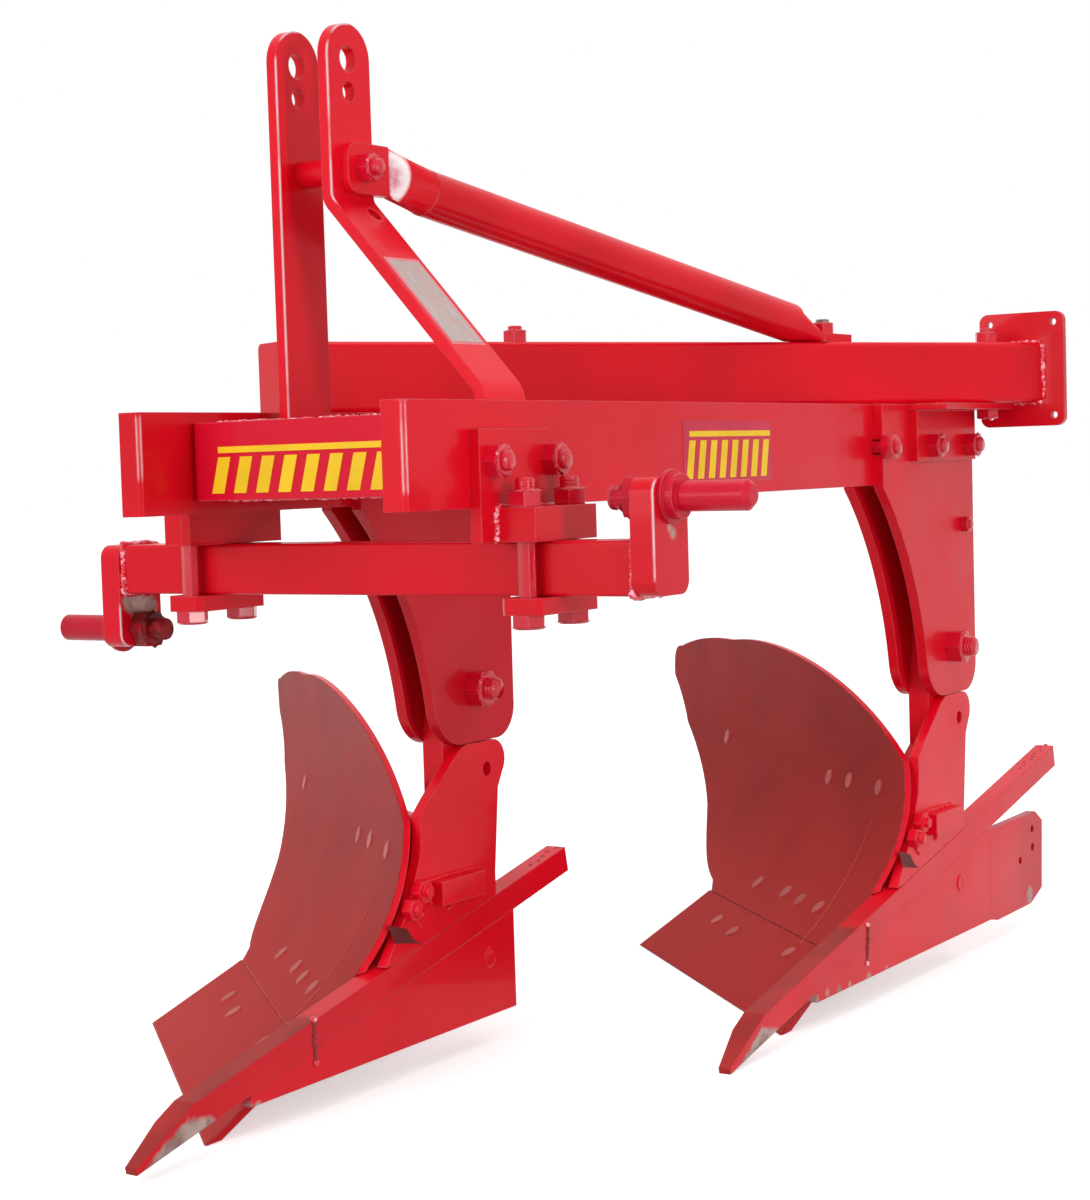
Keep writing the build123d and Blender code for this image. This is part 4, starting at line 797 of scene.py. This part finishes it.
# ------------------------------------------------------------------ bar points
# Long square bars of hard steel that slide forward through the frog as their tips wear. Their
# paint is dull ahead of the share, glossy behind, and rubbed to steel under the tip.
BAR_LEAN, BAR_H = radians(12), 30.0
UNDER_V, UNDER_Z = -125.0, 4.0           # a point of the bar's underside
MATT_UNTIL, GLOSS_FROM = 195, 210        # where the share starts to cover the bar
TIP_AT = {"front": (-68, 40), "rear": (-106, -8)}     # where the bare steel begins and ends
PUNCH_MARK = (0.0066, 0.0066, 0.0007)
PUNCHED = {"rear": [(770 + 12.5 * i, 13.8 + 3.0 * sin(2.4 * i)) for i in range(9)],
           "front": [(628 + 14.0 * i, 15.5 + 3.0 * sin(1.7 * i)) for i in range(5)]}


def bar_top(v):
    return UNDER_Z + (v - UNDER_V) * tan(BAR_LEAN) + BAR_H / cos(BAR_LEAN)


for body in BODIES:
    x, y = BODIES[body]
    bar_red = enamel(body + "_bar", base=colour(230, 11, 36), deep=colour(212, 10, 30), edge=0.25)
    w, shader = reopen(bar_red)
    red = shader["Base Color"].links[0].from_socket
    gloss = shader["Roughness"].links[0].from_socket
    spot = w.spot()
    back = w.split(spot)["Y"]
    ahead_of_share = w.span(back, at(0, y + MATT_UNTIL, 0).y, at(0, y + GLOSS_FROM, 0).y, 1.0, 0.0)
    facing = w.split(w.normal())["X"]
    top = w.span(facing, 0.5, 0.7, 1.0, 0.0)
    begin, end = (at(0, y + v, 0).y for v in TIP_AT[body])
    parts = w.split(spot)
    rise = w.math("MINIMUM", w.math("MULTIPLY", w.math("SUBTRACT", parts["Y"], begin), 0.36),
                  w.math("MULTIPLY", w.math("SUBTRACT", end, parts["Y"]), 0.5))
    foot = at(0, y, UNDER_Z - UNDER_V * tan(BAR_LEAN))
    above = w.math("SUBTRACT", w.math("SUBTRACT", parts["Z"], foot.z),
                   w.math("MULTIPLY", w.math("SUBTRACT", parts["Y"], foot.y), tan(BAR_LEAN)))
    ragged = w.noise(spot, 55.0, 3.0)
    rise = w.math("ADD", rise, w.span(ragged, 0.25, 0.75, -0.004, 0.004))
    side = w.span(w.math("SUBTRACT", rise, above), -0.002, 0.004)
    bare = w.math("MULTIPLY", side, w.math("SUBTRACT", 1.0, top))
    steel = w.blend(w.place("paint_drift", Size=50.0, Low=0.3, High=0.7)["Mask"], STEEL, STEEL_DARK)
    red = w.blend(bare, red, steel)
    dull = w.math("MULTIPLY", ahead_of_share, top)
    mottled = w.blend(w.place("paint_drift", Size=9.0, Low=0.35, High=0.7)["Mask"], colour(178, 40, 38),
                      colour(150, 34, 32))
    w.give(shader["Base Color"], w.blend(dull, red, mottled))
    w.give(shader["Roughness"], w.math("MAXIMUM", gloss, w.math("MULTIPLY", dull, 0.5)))
    coat(bar_red, body + "_bar_point")
    lean = Vector((0, -sin(BAR_LEAN), cos(BAR_LEAN)))
    marks = [(at(x + u, y + v, bar_top(v)), lean, X, PUNCH_MARK) for v, u in PUNCHED[body]]
    grow(body + "_punch_marks", seeds("marks", marks), "flush_bolt", bar_red, body + "_bar_point",
         "wear_steel", Dish=0.95)

# ------------------------------------------------------------------ floor, sky and lamps
# A pale studio floor running into a white surround. One tall strip lamp stands at the plough's
# front left corner, a wide soft one ahead of it and another overhead.
stage_floor = bpy.data.meshes.new("floor")
HALF = 30.0
stage_floor.from_pydata([(-HALF, -HALF, 0), (HALF, -HALF, 0), (HALF, HALF, 0), (-HALF, HALF, 0)],
                        [], [(0, 1, 2, 3)])
floor_object = bpy.data.objects.new("floor", stage_floor)
bpy.context.scene.collection.objects.link(floor_object)
floor_paint, w, shader = new_material("floor", Roughness=0.9, Specular_IOR_Level=0.0)
rays = w.add("ShaderNodeLightPath").outputs
seen = w.math("MAXIMUM", rays["Is Camera Ray"], w.math("MAXIMUM", rays["Is Glossy Ray"],
                                                     rays["Is Transmission Ray"]))
w.give(shader["Base Color"], w.blend(seen, (0.44, 0.42, 0.42, 1.0), (0.8, 0.8, 0.8, 1.0)))
w.give(shader["Emission Color"], w.blend(seen, (0, 0, 0, 1), (1, 1, 1, 1)))
shader["Emission Strength"].default_value = 0.52
stage_floor.materials.append(floor_paint)

sky = bpy.data.worlds.new("surround")
bpy.context.scene.world = sky
sky.use_nodes = True
w = Wiring(sky.node_tree)
rays = w.add("ShaderNodeLightPath").outputs
white = w.math("MAXIMUM", rays["Is Camera Ray"], w.math("MAXIMUM", rays["Is Glossy Ray"],
                                                      rays["Is Transmission Ray"]))
w.give(sky.node_tree.nodes["Background"].inputs["Strength"], w.span(white, 0.0, 1.0, 0.76, 1.0))
sky.node_tree.nodes["Background"].inputs["Color"].default_value = (1, 1, 1, 1)
LAMPS = {"strip": ((3.3, -1.4, 0.9), (0.35, 1.7), 30), "front": ((-0.6, -4.4, 1.3), (2.6, 1.6), 60),
         "top": ((0.3, 0.2, 3.9), (2.6, 2.6), 34)}
for name, (place, size, power) in LAMPS.items():
    lamp = bpy.data.lights.new(name, "AREA")
    lamp.shape, lamp.energy = "RECTANGLE", power
    lamp.size, lamp.size_y = size
    stand = bpy.data.objects.new(name, lamp)
    stand.location = place
    stand.rotation_euler = (Vector((0, 0, 0.5)) - stand.location).to_track_quat("-Z", "Y").to_euler()
    bpy.context.scene.collection.objects.link(stand)
bpy.context.scene.view_settings.view_transform = "Standard"
